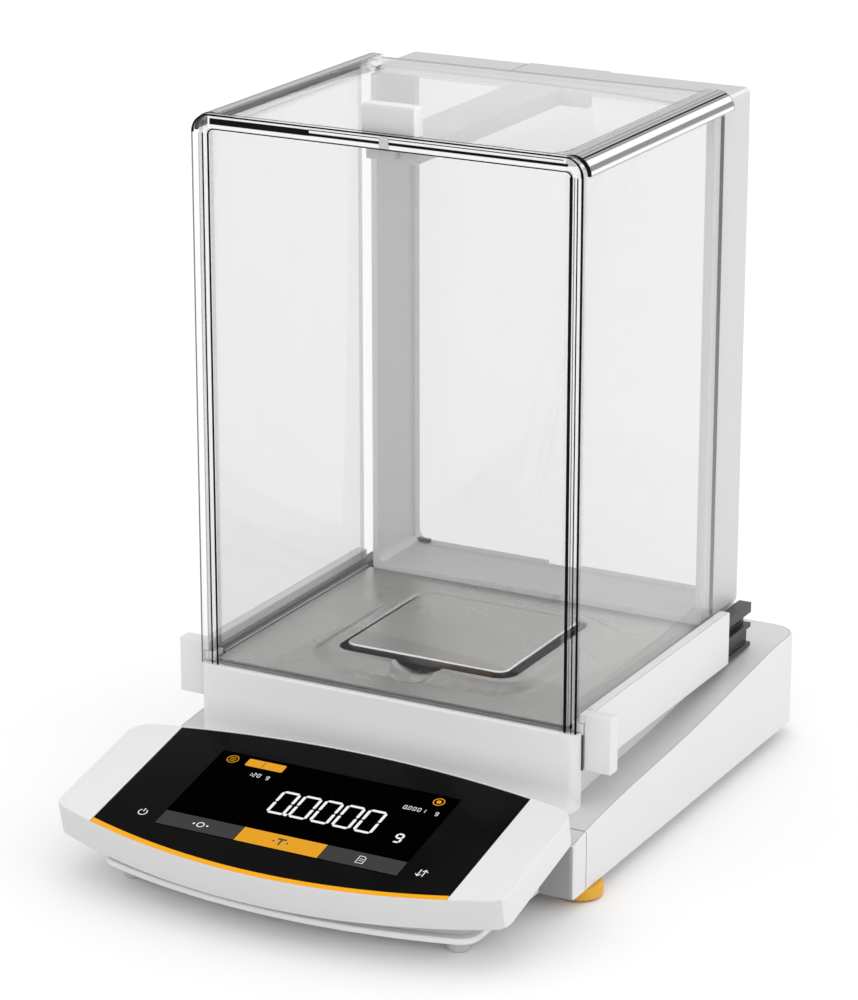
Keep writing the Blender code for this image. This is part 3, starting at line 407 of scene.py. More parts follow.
def make_looks():
    line = {"depth": 0.002 * MM}
    smooth = {"depth": 0.0003 * MM, "contrast": 0.03}
    moulded("white_plastic", (0.71, 0.71, 0.712), 0.42)
    moulded("grey_plastic", (0.50, 0.50, 0.505), 0.48)
    moulded("bar_plastic", grey(0.58), 0.4)
    moulded("black_plastic", (0.016, 0.016, 0.018), 0.4)
    # painted shade: near-black lines for the shade and dark reflections in clear plastic and glass edges
    moulded("painted_dark_line", (0.004, 0.004, 0.0045), 0.5, specular=0.05, **line)
    moulded("cast_base", grey(0.80), 0.55, grain=0.35 * MM, depth=0.03 * MM)
    # painted shade: a near-black lining that makes the well under the pan look dark
    moulded("well", grey(0.012), 0.6)
    # painted shade: a darker copy of the white plastic, for faces that should look less lit
    moulded("painted_shade_white", (0.595, 0.595, 0.596), 0.42)
    clear("clear_glass", (0.942, 0.942, 0.941))
    clear("pane_edge", (0.72, 0.74, 0.73), 0.08, 0.08)
    # painted shade: a grey for the base's front faces under the display and for the clear rails' cover
    moulded("painted_shade_grey", grey(0.34), 0.3, **line)
    # painted shade: a dark grey for gaps, edge lines and the dark stripes on the clear rails and frame
    moulded("painted_shade_dark", grey(0.16), 0.3, **line)
    # painted highlight: a light grey for bright bands on the clear parts and the grip's ends
    moulded("painted_highlight_white", grey(0.86), 0.2, **line)
    clear("frame_light", grey(0.985), 0.03, 0.03)
    # painted highlight: a bright steel for the pan's rounded rim
    brushed("painted_highlight_steel", (0.80, 0.79, 0.78), 0.2, depth=0, contrast=0.03)
    # painted shade: a dark steel for the pan's sides
    brushed("steel_shade", grey(0.13), 0.3)
    # a grey for the pads and the column's cover, also used as painted shade for thin edge lines and the
    # column's tops
    moulded("grey_and_painted_shade", grey(0.5), 0.6)
    lit("lit_off", grey(0.0006))
    brushed("brushed_steel", (0.385, 0.38, 0.37), 0.3, grain=0.5 * MM, **smooth)
    brushed("pan_steel", (0.375, 0.37, 0.358), 0.3, (30, 1, 1), 0.5 * MM, **smooth)
    brushed("aluminium", (0.66, 0.66, 0.67), 0.38, (1, 1, 1), 0.3 * MM)
    brushed("brass", (0.72, 0.56, 0.27), 0.34, (1, 1, 8))
    moulded("display_glass", (0.0042, 0.0042, 0.0043), 0.1, depth=0, mottle=0.2, specular=0.012)
    moulded("screen", (0.01, 0.01, 0.011), 0.2)
    moulded("accent_orange", (0.86, 0.375, 0.003), 0.4, specular=0.08)
    moulded("foot_yellow", (0.72, 0.37, 0.013), 0.45)
    moulded("rubber", grey(0.03), 0.75, grain=0.8 * MM, depth=0.05 * MM)
    moulded("circuit_board", (0.02, 0.14, 0.06), 0.35, mottle=0.25)
    lit("lit_white", grey(0.92))
    lit("lit_orange", (0.83, 0.375, 0.025))
    lit("lit_key", (0.056, 0.056, 0.058))


# ---------------------------------------------------------------- base

# Height of the deck along the base, as (y, z). It is smoothed by deck_height.
DECK_LINE = [
    mm(-75.2, 30.2), mm(-63.2, 32.4), mm(-23, 36.2),
    mm(-8, 36.9), mm(33, 39.1), mm(75, 42.7), mm(106, 45.9),
    mm(131, 48.2), mm(159.4, 48.8),
]
DECK_EDGE = 0.9 * MM  # radius of the deck's edge
DECK_STEP = 5 * MM  # how finely straight runs are divided to follow the deck's curve
SHELL_FOOT = 0.1 * MM  # the white shells start this high above the tray's underside
SEAM_Y = -63.2 * MM
CORNER_PIECE = 12 * MM  # length of the front corner piece
SHELL_CORNER = 12 * MM  # radius of the rear shell's corners
TRAY_FRONT = SEAM_Y - 11.4 * MM
TRAY_CORNER_REAR = 11 * MM
TONGUE_CURVE = 0.86  # share of the tongue's half width that its front curve takes
TONGUE_HALF = 87.5 * MM
TONGUE_CORNER_Y = -133.5 * MM
NECK_INSET = 3.2 * MM
NECK_TOP = 36 * MM
TRAY_HOLE = 10 * MM  # radius of the hole under the pan, for weighing below the balance
STEM_HOLE = 9 * MM  # radius of the hole for the pan's stem
LEVEL_HOLE = 7.3 * MM  # radius of the hole for the bubble level
PEDESTAL_FRONT = -48.2 * MM
PEDESTAL_FRONT_HALF = 90.7 * MM
PEDESTAL_HALF = 85.7 * MM
PEDESTAL_TOP = 66.5 * MM
PEDESTAL_STEP = 4.7 * MM  # length of its wider front
PEDESTAL_REAR = 132.4 * MM
RECESS = (mm(-60, 60), mm(-34, 84), mm(61.5, 80))  # under the floor plate
WELL_HALF = 44 * MM
WELL_Y = mm(-16, 70)
WELL_FLOOR = 60.5 * MM


def deck_height(y):
    """A smooth curve through the deck line."""
    line = DECK_LINE
    y = min(max(y, line[0][0]), line[-1][0])
    slopes = []
    for index in range(len(line)):
        before, after = line[max(index - 1, 0)], line[min(index + 1, len(line) - 1)]
        slopes.append((after[1] - before[1]) / (after[0] - before[0]))
    for index in range(len(line) - 1):
        (y0, z0), (y1, z1) = line[index], line[index + 1]
        if y <= y1:
            span = y1 - y0
            t = (y - y0) / span
            return ((2 * t**3 - 3 * t**2 + 1) * z0 + (t**3 - 2 * t**2 + t) * span * slopes[index]
                    + (3 * t**2 - 2 * t**3) * z1 + (t**3 - t**2) * span * slopes[index + 1])


def with_points_between(outline, step):
    """The outline with its long straight runs along y divided, for a deck that curves."""
    fine = []
    for index, here in enumerate(outline):
        ahead = outline[(index + 1) % len(outline)]
        fine.append(here)
        count = int(abs(ahead.y - here.y) / step)
        fine += [here.lerp(ahead, k / count) for k in range(1, count)]
    return fine


def unless_at_seam(rest, moved):
    """The moved point's y. At the seam it stays, so that the two shells still meet there."""
    return rest.y if abs(rest.y - SEAM_Y) < GAP + 1e-6 else moved.y


def deck_block(name, corners, bottom):
    """A body whose top follows the deck, with a rounded edge.

    The corners run from the middle of the front, up the right side, to the middle of the
    rear. The left side mirrors them, so that strips across the deck close the top.
    """
    outline = both_sides(with_points_between(rounded(corners, 8), DECK_STEP))
    rings = [[(p.x, p.y, bottom) for p in outline]]
    steps = 6
    for step in range(steps + 1):
        turn = math.pi / 2 * step / steps
        drawn = inset(outline, DECK_EDGE * (1 - math.cos(turn)))
        drop = DECK_EDGE * (1 - math.sin(turn))
        ring = []
        for rest, moved in zip(outline, drawn):
            y = unless_at_seam(rest, moved)
            ring.append((moved.x, y, deck_height(y) - drop))
        rings.append(ring)
    count, last = len(outline), (len(rings) - 1) * len(outline)
    made = loft(name, rings, (True, False))
    points = [v.co.copy() for v in made.data.vertices]
    faces = [tuple(face.vertices) for face in made.data.polygons]
    edge_line(name, outline)
    for index in range(count // 2 - 1):
        left = count - 1 - index
        faces.append((last + index, last + index + 1, last + left - 1, last + left))
    bpy.data.objects.remove(made)
    made = mesh_object(name, points, faces)
    tidy_normals(made)
    return made


def edge_line(name, outline):
    """A thin line of painted shade along the deck, just inside its edge."""
    rings = []
    for distance in (DECK_EDGE, DECK_EDGE + 0.45 * MM):
        ring = []
        for rest, moved in zip(outline, inset(outline, distance)):
            y = unless_at_seam(rest, moved)
            ring.append((moved.x, y, deck_height(y) + 0.02 * MM))
        rings.append(ring)
    rings.append([(x, y, z - 0.3 * MM) for x, y, z in rings[1]])
    rings.append([(x, y, z - 0.3 * MM) for x, y, z in rings[0]])
    rings.append(rings[0])
    finish_piece(loft(f"{name}_line", rings, (False, False)), "grey_and_painted_shade")


def tidy_normals(made):
    """Makes all faces agree and look outwards."""
    mesh = bmesh.new()
    mesh.from_mesh(made.data)
    bmesh.ops.recalc_face_normals(mesh, faces=mesh.faces)
    mesh.to_mesh(made.data)
    mesh.free()


def make_seam(half, bottom):
    """The strips that close the joint between the rear shell and the front corner piece, in painted
    shade: darker white on the deck and dark on the sides.
    """
    span = (SEAM_Y - 0.28 * MM, SEAM_Y + 0.28 * MM)
    top = deck_height(SEAM_Y)
    inner = half - 0.8 * MM
    trim("seam_strip", ((-inner, inner), span, (top - 3 * MM, top - 0.12 * MM)), "painted_shade_white")
    for side, word in SIDES:
        spans = ((side * inner, side * (half - 0.1 * MM)), span, (bottom + 1 * MM, top - 0.8 * MM))
        trim(f"seam_strip_{word}", spans, "painted_shade_dark", slot="white_plastic")


def make_base():
    """Tray, rear shell, front corner piece, the seam between them, and the display's neck."""
    tray_low, tray_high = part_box("base_tray")
    half, rear, tip = tray_high.x, tray_high.y, tray_low.y
    front = TRAY_FRONT
    corners = [
        (half, front, 3 * MM), (half, rear, TRAY_CORNER_REAR), (-half, rear, TRAY_CORNER_REAR),
        (-half, front, 3 * MM), (-TONGUE_HALF, front, 0), (-TONGUE_HALF, TONGUE_CORNER_Y, 9 * MM),
    ]
    count = 18
    for step in range(-count, count + 1):
        share = TONGUE_CURVE * step / count
        corners.append((TONGUE_HALF * share, tip + (TONGUE_CORNER_Y - tip) * share**2, 0))
    corners += [(TONGUE_HALF, TONGUE_CORNER_Y, 9 * MM), (TONGUE_HALF, front, 0)]
    tongue = corners[4:]
    tray = slab("tray", rounded(corners), tray_low.z, tray_high.z,
                round_bottom=0.8 * MM, round_top=0.8 * MM)
    pan_y = middle_of("weighing_pan").y
    cut(tray, turned("hole", [(TRAY_HOLE, -1 * MM), (TRAY_HOLE, 20 * MM)], (0, pan_y, 0)))
    finish_piece(tray, "cast_base", stands_for=["base_tray"])

    shell_low, shell_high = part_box("main_housing")
    shell = deck_block("rear_shell", [
        (0, SEAM_Y + GAP, 0), (shell_high.x, SEAM_Y + GAP, 0), (shell_high.x, shell_high.y, SHELL_CORNER),
        (0, shell_high.y, 0)], tray_low.z + SHELL_FOOT)
    pocket = inset(rounded(corners), -0.15 * MM)
    cut(shell, slab("cutter", pocket, -1 * MM, shell_low.z))
    panel_low, panel_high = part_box("rear_panel")
    cut(shell, block("cutter", (panel_low.x - GAP, panel_high.x + GAP),
                     (panel_low.y - 8 * MM, panel_high.y + 9 * MM),
                     (panel_low.z - GAP, panel_high.z + GAP), 1.5 * MM, axis="Y"))
    level = middle_of("bubble_level_cup")
    cut(shell, turned("cutter", [(LEVEL_HOLE, 40 * MM), (LEVEL_HOLE, 60 * MM)], (level.x, level.y, 0)))
    finish_piece(shell, "white_plastic", stands_for=["main_housing"])
    # painted shade: the top faces get the darker white
    relook(shell, "painted_shade_white", lambda face: face.normal.z > 0.9)

    front_low, front_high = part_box("front_housing")
    corner = deck_block("front_corners", [
        (0, SEAM_Y - CORNER_PIECE, 0), (front_high.x, SEAM_Y - CORNER_PIECE, 2.2 * MM),
        (front_high.x, SEAM_Y - GAP, 0), (0, SEAM_Y - GAP, 0)], tray_low.z + SHELL_FOOT)
    cut(corner, slab("cutter", pocket, -1 * MM, front_low.z))
    finish_piece(corner, "white_plastic", stands_for=["front_housing"])
    # painted shade: darker white on the top faces, and grey on the front faces for the display's shadow
    relook(corner, "painted_shade_white", lambda face: face.normal.z > 0.9)
    relook(corner, "painted_shade_grey", lambda face: face.normal.y < -0.7)
    make_seam(shell_high.x, tray_low.z)
    neck = slab("neck", inset(rounded(tongue), NECK_INSET), tray_high.z + 0.1 * MM, NECK_TOP)
    under = slab("cutter", rectangle(mm(-200, 200), mm(-60, 200)),
                 -DISPLAY_THICK - 0.3 * MM, 99 * MM)
    cut(neck, on_display(under))
    # painted shade: the neck is mid-grey for the shade in the recess under the display
    finish_piece(neck, "grey_plastic")


def make_pedestal():
    """The raised block under the glass, with a flare at its foot and a well under the pan."""
    front_half, half = PEDESTAL_FRONT_HALF, PEDESTAL_HALF
    step_y, rear = PEDESTAL_FRONT + PEDESTAL_STEP, PEDESTAL_REAR
    right = rounded([(0, PEDESTAL_FRONT, 0), (front_half, PEDESTAL_FRONT, 4.6 * MM),
                     (front_half, step_y, 0), (half, step_y, 0), (half, rear, 0), (0, rear, 0)])
    outline = both_sides(with_points_between(right, DECK_STEP))
    steps = 6
    rings = []
    for step in range(steps + 1):
        turn = math.pi / 2 * step / steps
        ring = []
        for index, here in enumerate(outline):
            back, ahead = outline[index - 1], outline[(index + 1) % len(outline)]
            along = (ahead - back).normalized()
            outward = Vector((along.y, -along.x))
            facing_front = max(0, -outward.y) if here.y < step_y - 0.1 * MM else 0
            flare = (1 + 8 * facing_front**2) * MM
            spot = here + outward * flare * (1 - math.sin(turn))
            ring.append((spot.x, spot.y, deck_height(spot.y) - 0.6 * MM + flare * (1 - math.cos(turn))))
        rings.append(ring)
    for draw_in, height in rounding(0, PEDESTAL_TOP, 0, 1 * MM)[1:]:
        rings.append([(p.x, p.y, height) for p in inset(outline, draw_in)])
    pedestal = loft("pedestal", rings)
    pan_y = middle_of("weighing_pan").y
    cut(pedestal,
        block("cutter", (-WELL_HALF, WELL_HALF), WELL_Y, (WELL_FLOOR, 80 * MM), 4 * MM),
        block("cutter", *RECESS, 4 * MM),
        turned("cutter", [(STEM_HOLE, 50 * MM), (STEM_HOLE, 80 * MM)], (0, pan_y, 0)))
    finish_piece(pedestal, "white_plastic")
    # painted shade: a near-black lining inside the well, so that it looks dark under the pan
    shade_lining = block("well_shade_lining", (0.1 * MM - WELL_HALF, WELL_HALF - 0.1 * MM),
                  (WELL_Y[0] + 0.1 * MM, WELL_Y[1] - 0.1 * MM),
                  (WELL_FLOOR + 0.05 * MM, 61.4 * MM), 4 * MM)
    cut(shade_lining, turned("cutter", [(STEM_HOLE, 50 * MM), (STEM_HOLE, 80 * MM)], (0, pan_y, 0)))
    finish_piece(shade_lining, "well")
    for side, word in SIDES:
        for name, across, along, up, look, edges in (
                ("rail_cap", (half + 0.1 * MM, 91 * MM), mm(-42.8, -35.9),
                 mm(49.7, 70.2), "white_plastic", {"radius": 0.5 * MM, "rim": 0.3 * MM}),
                # painted shade: a black strip in the gap between the pedestal's lip and the rail cap
                ("lip_gap_shade", (front_half - 0.2 * MM, front_half + 0.55 * MM),
                 (step_y - 0.3 * MM, step_y + 0.4 * MM), (50 * MM, PEDESTAL_TOP - 1 * MM),
                 "black_plastic", {}),
                ("track", mm(85.1, 86), mm(-35, 92), mm(68.4, 69.1),
                 "aluminium", {}),
                ("track_line", mm(84.55, 85.1), mm(-42, 92), mm(67, 68.3),
                 "black_plastic", {})):
            trim(f"{name}_{word}", ((side * across[0], side * across[1]), along, up), look, **edges)


# ---------------------------------------------------------------- display

DISPLAY_TILT = math.radians(12.32)
DISPLAY_ORIGIN = (0, -144.7 * MM, 32.2 * MM)
DISPLAY_THICK = 11.3 * MM
DISPLAY_LIP = 3.6 * MM  # how much deeper the housing is at its front
DISPLAY_HALF = 104.8 * MM
DISPLAY_WALL = 2.4 * MM
DISPLAY_REAR_ARC = mm(79.7, 492)  # distance up the slope at the middle, radius
DISPLAY_FRONT_ARC = mm(-15, 302)
PANEL_HALF = 83 * MM
ACCENT_WIDTH = 3.2 * MM
INK = 0.06 * MM  # how far lit marks stand off the glass


def on_display(made):
    """Moves a piece drawn flat (x, distance up the slope, height) onto the tilted display."""
    tilt = Matrix.Translation(DISPLAY_ORIGIN) @ Matrix.Rotation(DISPLAY_TILT, 4, "X")
    made.data.transform(tilt)
    return made


def arc_edge(arc, x, draw_in, faces_front):
    middle, radius = arc
    rise = (radius - draw_in) - math.sqrt((radius - draw_in) ** 2 - x * x)
    return middle + draw_in + rise if faces_front else middle - draw_in - rise


def across(half, count=24):
    """Evenly spaced places from -half to half."""
    return [half * (2 * i / count - 1) for i in range(count + 1)]


def display_outline(half, rear_inset, front_inset, front_radius=0, rear_radius=0):
    """A display layer's plan: straight sides between a front arc and a rear arc."""
    corners = []
    for arc, xs, draw_in, radius in (
            (DISPLAY_FRONT_ARC, across(half), front_inset, front_radius),
            (DISPLAY_REAR_ARC, across(half)[::-1], rear_inset, rear_radius)):
        for x in xs:
            at_end = abs(x) == half
            if at_end or not radius or abs(x) < half - radius:
                place = arc_edge(arc, x, draw_in, arc == DISPLAY_FRONT_ARC)
                corners.append((x, place, radius if at_end else 0))
    return rounded(corners, 8)


def make_display():
    """The housing, its cover underneath, the touch panel and the orange strip in front of it."""
    outline = display_outline(DISPLAY_HALF, 0, 0, 7 * MM, 10 * MM)
    deep = DISPLAY_THICK + DISPLAY_LIP
    housing = slab("display_shell", outline, -deep, 0, round_bottom=0.6 * MM, round_top=0.8 * MM)
    wedge = [Vector((-30 * MM, -deep)), Vector((84 * MM, -DISPLAY_THICK)),
             Vector(mm(84, -40)), Vector(mm(-30, -40))]
    cut(housing, slab("cutter", wedge, -150 * MM, 150 * MM, "X"))
    recess = display_outline(PANEL_HALF + GAP, 1.2 * MM, 0.4 * MM)
    cut(housing, slab("cutter", recess, -1.5 * MM, 3 * MM))
    room = display_outline(DISPLAY_HALF - DISPLAY_WALL, DISPLAY_WALL, DISPLAY_WALL, 5 * MM, 7 * MM)
    cut(housing, slab("cutter", room, -20 * MM, -3.6 * MM))
    housing = on_display(housing)
    finish_piece(housing, "white_plastic", stands_for=["display_housing"])
    # painted shade: the housing's front faces get the darker white
    relook(housing, "painted_shade_white", lambda face: face.normal.y < -0.55)

    around = DISPLAY_WALL + GAP
    cover_outline = display_outline(DISPLAY_HALF - around, around, around, 5 * MM, 7 * MM)
    cover = slab("display_cover", cover_outline, -DISPLAY_THICK, 1.8 * MM - DISPLAY_THICK,
                 round_bottom=0.8 * MM)
    finish_piece(on_display(cover), "grey_plastic", stands_for=["display_bottom_cover"])

    glass_outline = display_outline(PANEL_HALF, 1.2 * MM + GAP, ACCENT_WIDTH + GAP / 2)
    glass = slab("touch_panel", glass_outline, -1.3 * MM, 0, round_top=0.25 * MM)
    finish_piece(on_display(glass), "display_glass", stands_for=["touch_glass"])

    xs = across(PANEL_HALF)
    strip_outline = [Vector((x, arc_edge(DISPLAY_FRONT_ARC, x, draw_in, True)))
                     for draw_in, places in ((0.45 * MM, xs), (ACCENT_WIDTH, xs[::-1]))
                     for x in places]
    strip = slab("accent", strip_outline, -1.3 * MM, 0, round_top=0.25 * MM)
    finish_piece(on_display(strip), "accent_orange", stands_for=["accent_strip"])


def mark(name, outline, look, lift=INK, bottom=0.01 * MM):
    """A thin lit shape on the display's glass."""
    made = slab(name, outline, bottom, lift)
    return finish_piece(on_display(made), look)


def stroke(start, end, width):
    """A straight bar between two Vectors, with pointed ends."""
    along = (end - start).normalized() * width / 2
    across_it = Vector((-along.y, along.x))
    return [start, start + along - across_it, end - along - across_it, end,
            end - along + across_it, start + along + across_it]


def bar_mark(name, start, end, width, look="lit_white"):
    """A lit straight bar with square ends."""
    start, end = Vector(start), Vector(end)
    along = (end - start).normalized() * width / 2
    across_it = Vector((-along.y, along.x))
    mark(name, [start - along - across_it, end + along - across_it, end + along + across_it,
                start - along + across_it], look)


SEGMENTS = {  # ends of a digit's bars on a grid one wide and two high
    "top": ((0, 2), (1, 2)), "upper_left": ((0, 2), (0, 1)), "upper_right": ((1, 2), (1, 1)),
    "middle": ((0, 1), (1, 1)), "lower_left": ((0, 1), (0, 0)), "lower_right": ((1, 1), (1, 0)),
    "bottom": ((0, 0), (1, 0)),
}
DIGITS = {
    "0": ("top", "upper_left", "upper_right", "lower_left", "lower_right", "bottom"),
    "1": ("upper_right", "lower_right"),
    "2": ("top", "upper_right", "middle", "lower_left", "bottom"),
    "g": ("top", "upper_left", "upper_right", "middle", "lower_right", "bottom"),
}


READINGS = (  # name, text, left end, middle up the slope, height, stroke, pitch in heights
    ("reading", "0.0000", -16 * MM, 27.6 * MM, 14.9 * MM, 1.35 * MM, 0.682),
    ("unit", "g", 43.6 * MM, 25.6 * MM, 5.6 * MM, 1.0 * MM, 0.7),
    ("step", "0.0001", 36.4 * MM, 48 * MM, 2.3 * MM, 0.3 * MM, 0.95),
    ("step_unit", "g", 51.2 * MM, 47.6 * MM, 2.3 * MM, 0.32 * MM, 0.7),
    ("limit", "120", -37.2 * MM, 48.2 * MM, 2.3 * MM, 0.32 * MM, 0.92),
    ("limit_unit", "g", -28.6 * MM, 47.8 * MM, 2.3 * MM, 0.32 * MM, 0.7),
)


def write(word, text, x, s, height, width, pitch):
    """Digits made of bars, from x and s rightwards. A dot takes no room of its own."""
    half_height = height / 2
    for count, letter in enumerate(text, 1):
        if letter == ".":
            middle = x - height * (pitch - 0.5) / 2 - width * 0.2
            dot = rectangle((middle - width * 0.6, middle + width * 0.6),
                            (s - width * 0.5, s + width * 0.7))
            mark(f"{word}_{count}", dot, "lit_white")
            continue
        for name in DIGITS[letter]:
            start, end = [Vector((x + column * half_height, s + row * half_height))
                          for column, row in SEGMENTS[name]]
            gap = (end - start).normalized() * width * 0.12
            mark(f"{word}_{count}_{name}", stroke(start + gap, end - gap, width), "lit_white")
        x += height * pitch


def ring_mark(name, centre, radius, width, look, segments=32):
    """A thin ring, closed by a loft between its inner and outer edges."""
    rings = []
    for distance, height in ((radius, 0.01 * MM), (radius, INK), (radius - width, INK),
                             (radius - width, 0.01 * MM), (radius, 0.01 * MM)):
        ring = []
        for step in range(segments):
            angle = 2 * math.pi * step / segments
            ring.append((centre[0] + distance * math.cos(angle),
                         centre[1] + distance * math.sin(angle), height))
        rings.append(ring)
    made = loft(name, rings, (False, False))
    tidy_normals(made)
    return finish_piece(on_display(made), look)


def make_screen():
    """What the display shows: a reading of zero, two status marks and a bar of keys."""
    bar_low, bar_high = 5 * MM, 14.6 * MM
    bounds = mm(-56.6, -19, 20.1, 56.6)
    for index, look in enumerate(("lit_key", "lit_orange", "lit_key")):
        left, right = bounds[index] + 0.15 * MM, bounds[index + 1] - 0.15 * MM
        mark(f"key_{index}", rectangle((left, right), (bar_low, bar_high)), look, INK * 0.6)
    for reading in READINGS:
        write(*reading)
    area = rectangle(mm(-56.7, 56.7), mm(4.4, 61.6))
    mark("lit_area", area, "lit_off", 0.02 * MM, 0.005 * MM)

    badge = rectangle(mm(-42.5, -24.5), mm(54.4, 59.6), 0.8 * MM)
    mark("badge", badge, "lit_orange", INK * 0.6)
    bar_mark("badge_line", mm(-34.5, 55.2), mm(-34.5, 58.8), 0.3 * MM, "screen")
    centre = mm(-49.4, 56.9)
    ring_mark("status_ring", centre, 2.7 * MM, 0.35 * MM, "lit_orange")
    for index in (-1, 0, 1):
        y = centre[1] + index * 1.1 * MM
        bar_mark(f"status_line_{index + 1}", (centre[0] - 1.2 * MM, y), (centre[0] + 1.2 * MM, y),
                 0.3 * MM, "lit_orange")
    centre = mm(48.6, 56.9)
    ring_mark("range_ring", centre, 2.6 * MM, 0.45 * MM, "lit_orange")
    ring_mark("range_dot", centre, 1.1 * MM, 1.0 * MM, "lit_orange")

    middle, zero_x, tare_x = 9.8 * MM, -37.3 * MM, 0.4 * MM
    ring_mark("zero_key", (zero_x, middle), 1.75 * MM, 0.5 * MM, "lit_white")
    for word, x, look in (("zero", zero_x, "lit_white"), ("tare", tare_x, "screen")):
        for side in (-1, 1):
            dot_x = x + side * 3.2 * MM
            dot = rectangle((dot_x - 0.5 * MM, dot_x + 0.5 * MM),
                            (middle - 0.5 * MM, middle + 0.5 * MM), 0.45 * MM)
            mark(f"{word}_dot_{side + 1}", dot, look)
    top = middle + 1.9 * MM
    bar_mark("tare_top", (tare_x - 1.5 * MM, top), (tare_x + 1.5 * MM, top), 1 * MM, "screen")
    bar_mark("tare_stem", (tare_x, middle - 1.7 * MM), (tare_x, middle + 1.5 * MM), 0.85 * MM, "screen")
    make_sheet_mark(37.8 * MM, 9.9 * MM)
    make_power_mark(-65.3 * MM, 10 * MM)
    make_arrows(65.3 * MM, 9.9 * MM)


def make_sheet_mark(x, y):
    """A page with a folded corner and two lines."""
    corners = [Vector((x + a * MM, y + b * MM))
               for a, b in ((-1.6, -2.3), (1.6, -2.3), (1.6, 1.3), (0.6, 2.3), (-1.6, 2.3))]
    for index, start in enumerate(corners):
        bar_mark(f"sheet_{index}", start, corners[(index + 1) % len(corners)], 0.32 * MM)
    for index in (0, 1):
        row = y + (0.5 - 1.2 * index) * MM
        bar_mark(f"sheet_line_{index}", (x - 0.8 * MM, row), (x + 0.8 * MM, row), 0.28 * MM)


def make_power_mark(x, y):
    """An open ring with a bar at its top."""
    radius, width, count = 1.9 * MM, 0.42 * MM, 20
    outline = []
    for distance, way in ((radius + width / 2, 1), (radius - width / 2, -1)):
        for step in range(count + 1)[::way]:
            angle = math.radians(125 + 290 * step / count)
            outline.append(Vector((x + distance * math.cos(angle), y + distance * math.sin(angle))))
    mark("power_ring", outline, "lit_white")
    bar_mark("power_bar", (x, y + 0.7 * MM), (x, y + 2.4 * MM), width)


def make_arrows(x, y):
    """Two arrows, one down and one up."""
    for side in (-1, 1):
        shaft, tip = x + side * 1.1 * MM, y + side * 2.2 * MM
        bar_mark(f"arrow_shaft_{side + 1}", (shaft, y - side * 2 * MM), (shaft, tip), 0.4 * MM)
        for lean in (-1, 1):
            end = (shaft + lean * 1.1 * MM, tip - side * 1.2 * MM)
            bar_mark(f"arrow_head_{side + 1}_{lean + 1}", end, (shaft, tip), 0.38 * MM)


# ---------------------------------------------------------------- glass shield

# The dark lines on the clear front frame are painted shade and dark reflections.
OPENING_LEFT = -82.4 * MM  # the dark line around the opening of the clear front frame
OPENING_RIGHT = 85.2 * MM
OPENING_DROP = 5.75 * MM  # how far below the frame's top that line runs
ROOF_REAR = 99 * MM  # rear edge of the roof glass
WINDOW_RISE = 1.6 * MM  # how far the rear glass reaches up behind the column's sloping top


def pane(name, node, axis, body="root", radius=0, spans=None):
    """A sheet of glass with lightly ground edges that look darker than its faces."""
    lowest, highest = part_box(node)
    spans = spans or [(lowest[i], highest[i]) for i in range(3)]
    made = block(name, *spans, radius=radius, rim=0.25 * MM, axis=axis, steps=3)
    finish_piece(made, "clear_glass", body, [node])
    index = "XYZ".index(axis)
    relook(made, "pane_edge", lambda face: abs(face.normal[index]) <= 0.9)


def make_panes():
    """The glass: front, rear, roof with a painted dark line at its rear edge, and the two doors."""
    lowest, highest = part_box("front_pane")
    pane("front_glass", "front_pane", "Y", radius=2 * MM,
         spans=[(OPENING_LEFT + 0.8 * MM, OPENING_RIGHT - 1.3 * MM), (lowest.y, highest.y),
                (lowest.z, high("front_frame").z - OPENING_DROP - 0.4 * MM)])
    lowest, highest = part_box("rear_pane")
    pane("rear_glass", "rear_pane", "Y", radius=2 * MM,
         spans=[(lowest.x, highest.x), (lowest.y, highest.y), (lowest.z, highest.z + WINDOW_RISE)])
    lowest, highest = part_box("roof_glass")
    pane("roof_sheet", "roof_glass", "Z", "roof", radius=1 * MM,
         spans=[(lowest.x, highest.x), (lowest.y, ROOF_REAR), (lowest.z, highest.z)])
    # painted shade: a dark line along the roof glass's rear edge
    spans = ((lowest.x + 3 * MM, highest.x - 3 * MM), (ROOF_REAR, ROOF_REAR + 0.35 * MM),
             (highest.z - 0.7 * MM, highest.z - 0.05 * MM))
    trim("roof_edge_line", spans, "painted_dark_line", "roof")
    for word in ("left", "right"):
        pane(f"door_glass_{word}", f"side_pane_{word}", "X", f"door_{word}", radius=1 * MM)


# painted shade: dark and grey lines on the clear frame, for the shade and dark reflections in it
UPRIGHT_LINES = (  # side, distance from the frame's outer edge, width, look
    (-1, 0.05 * MM, 0.5 * MM, "painted_shade_dark"),
    (-1, 3.3 * MM, 0.35 * MM, "grey_and_painted_shade"),
    (-1, 5.1 * MM, 0.55 * MM, "painted_dark_line"),
    (-1, 7.6 * MM, 0.8 * MM, "painted_dark_line"),
    (1, 0.05 * MM, 0.9 * MM, "painted_dark_line"),
    (1, 2.4 * MM, 0.45 * MM, "painted_dark_line"),
    (1, 3.8 * MM, 0.35 * MM, "painted_shade_dark"),
    (1, 4.8 * MM, 1.3 * MM, "painted_dark_line"),
)
# The frame's black corners are painted shade too.
CORNER_DROP = 8 * MM  # how far the black corners reach down the posts
TOP_LINES = (  # left end, right end, distance from the frame's top, height
    mm(-81, -34, 1.5, 2.5),
    mm(-34, 81, 1.35, 0.3),
    mm(-34, 83, 2.8, 1.1),
)


def frame_line(name, outline, look):
    """A thin painted line on the front face of the clear frame, standing in for the shade in its ribs."""
    face = low("front_frame").y
    made = slab(name, outline, face + 0.05 * MM, face + 0.35 * MM, "Y")
    finish_piece(made, look)


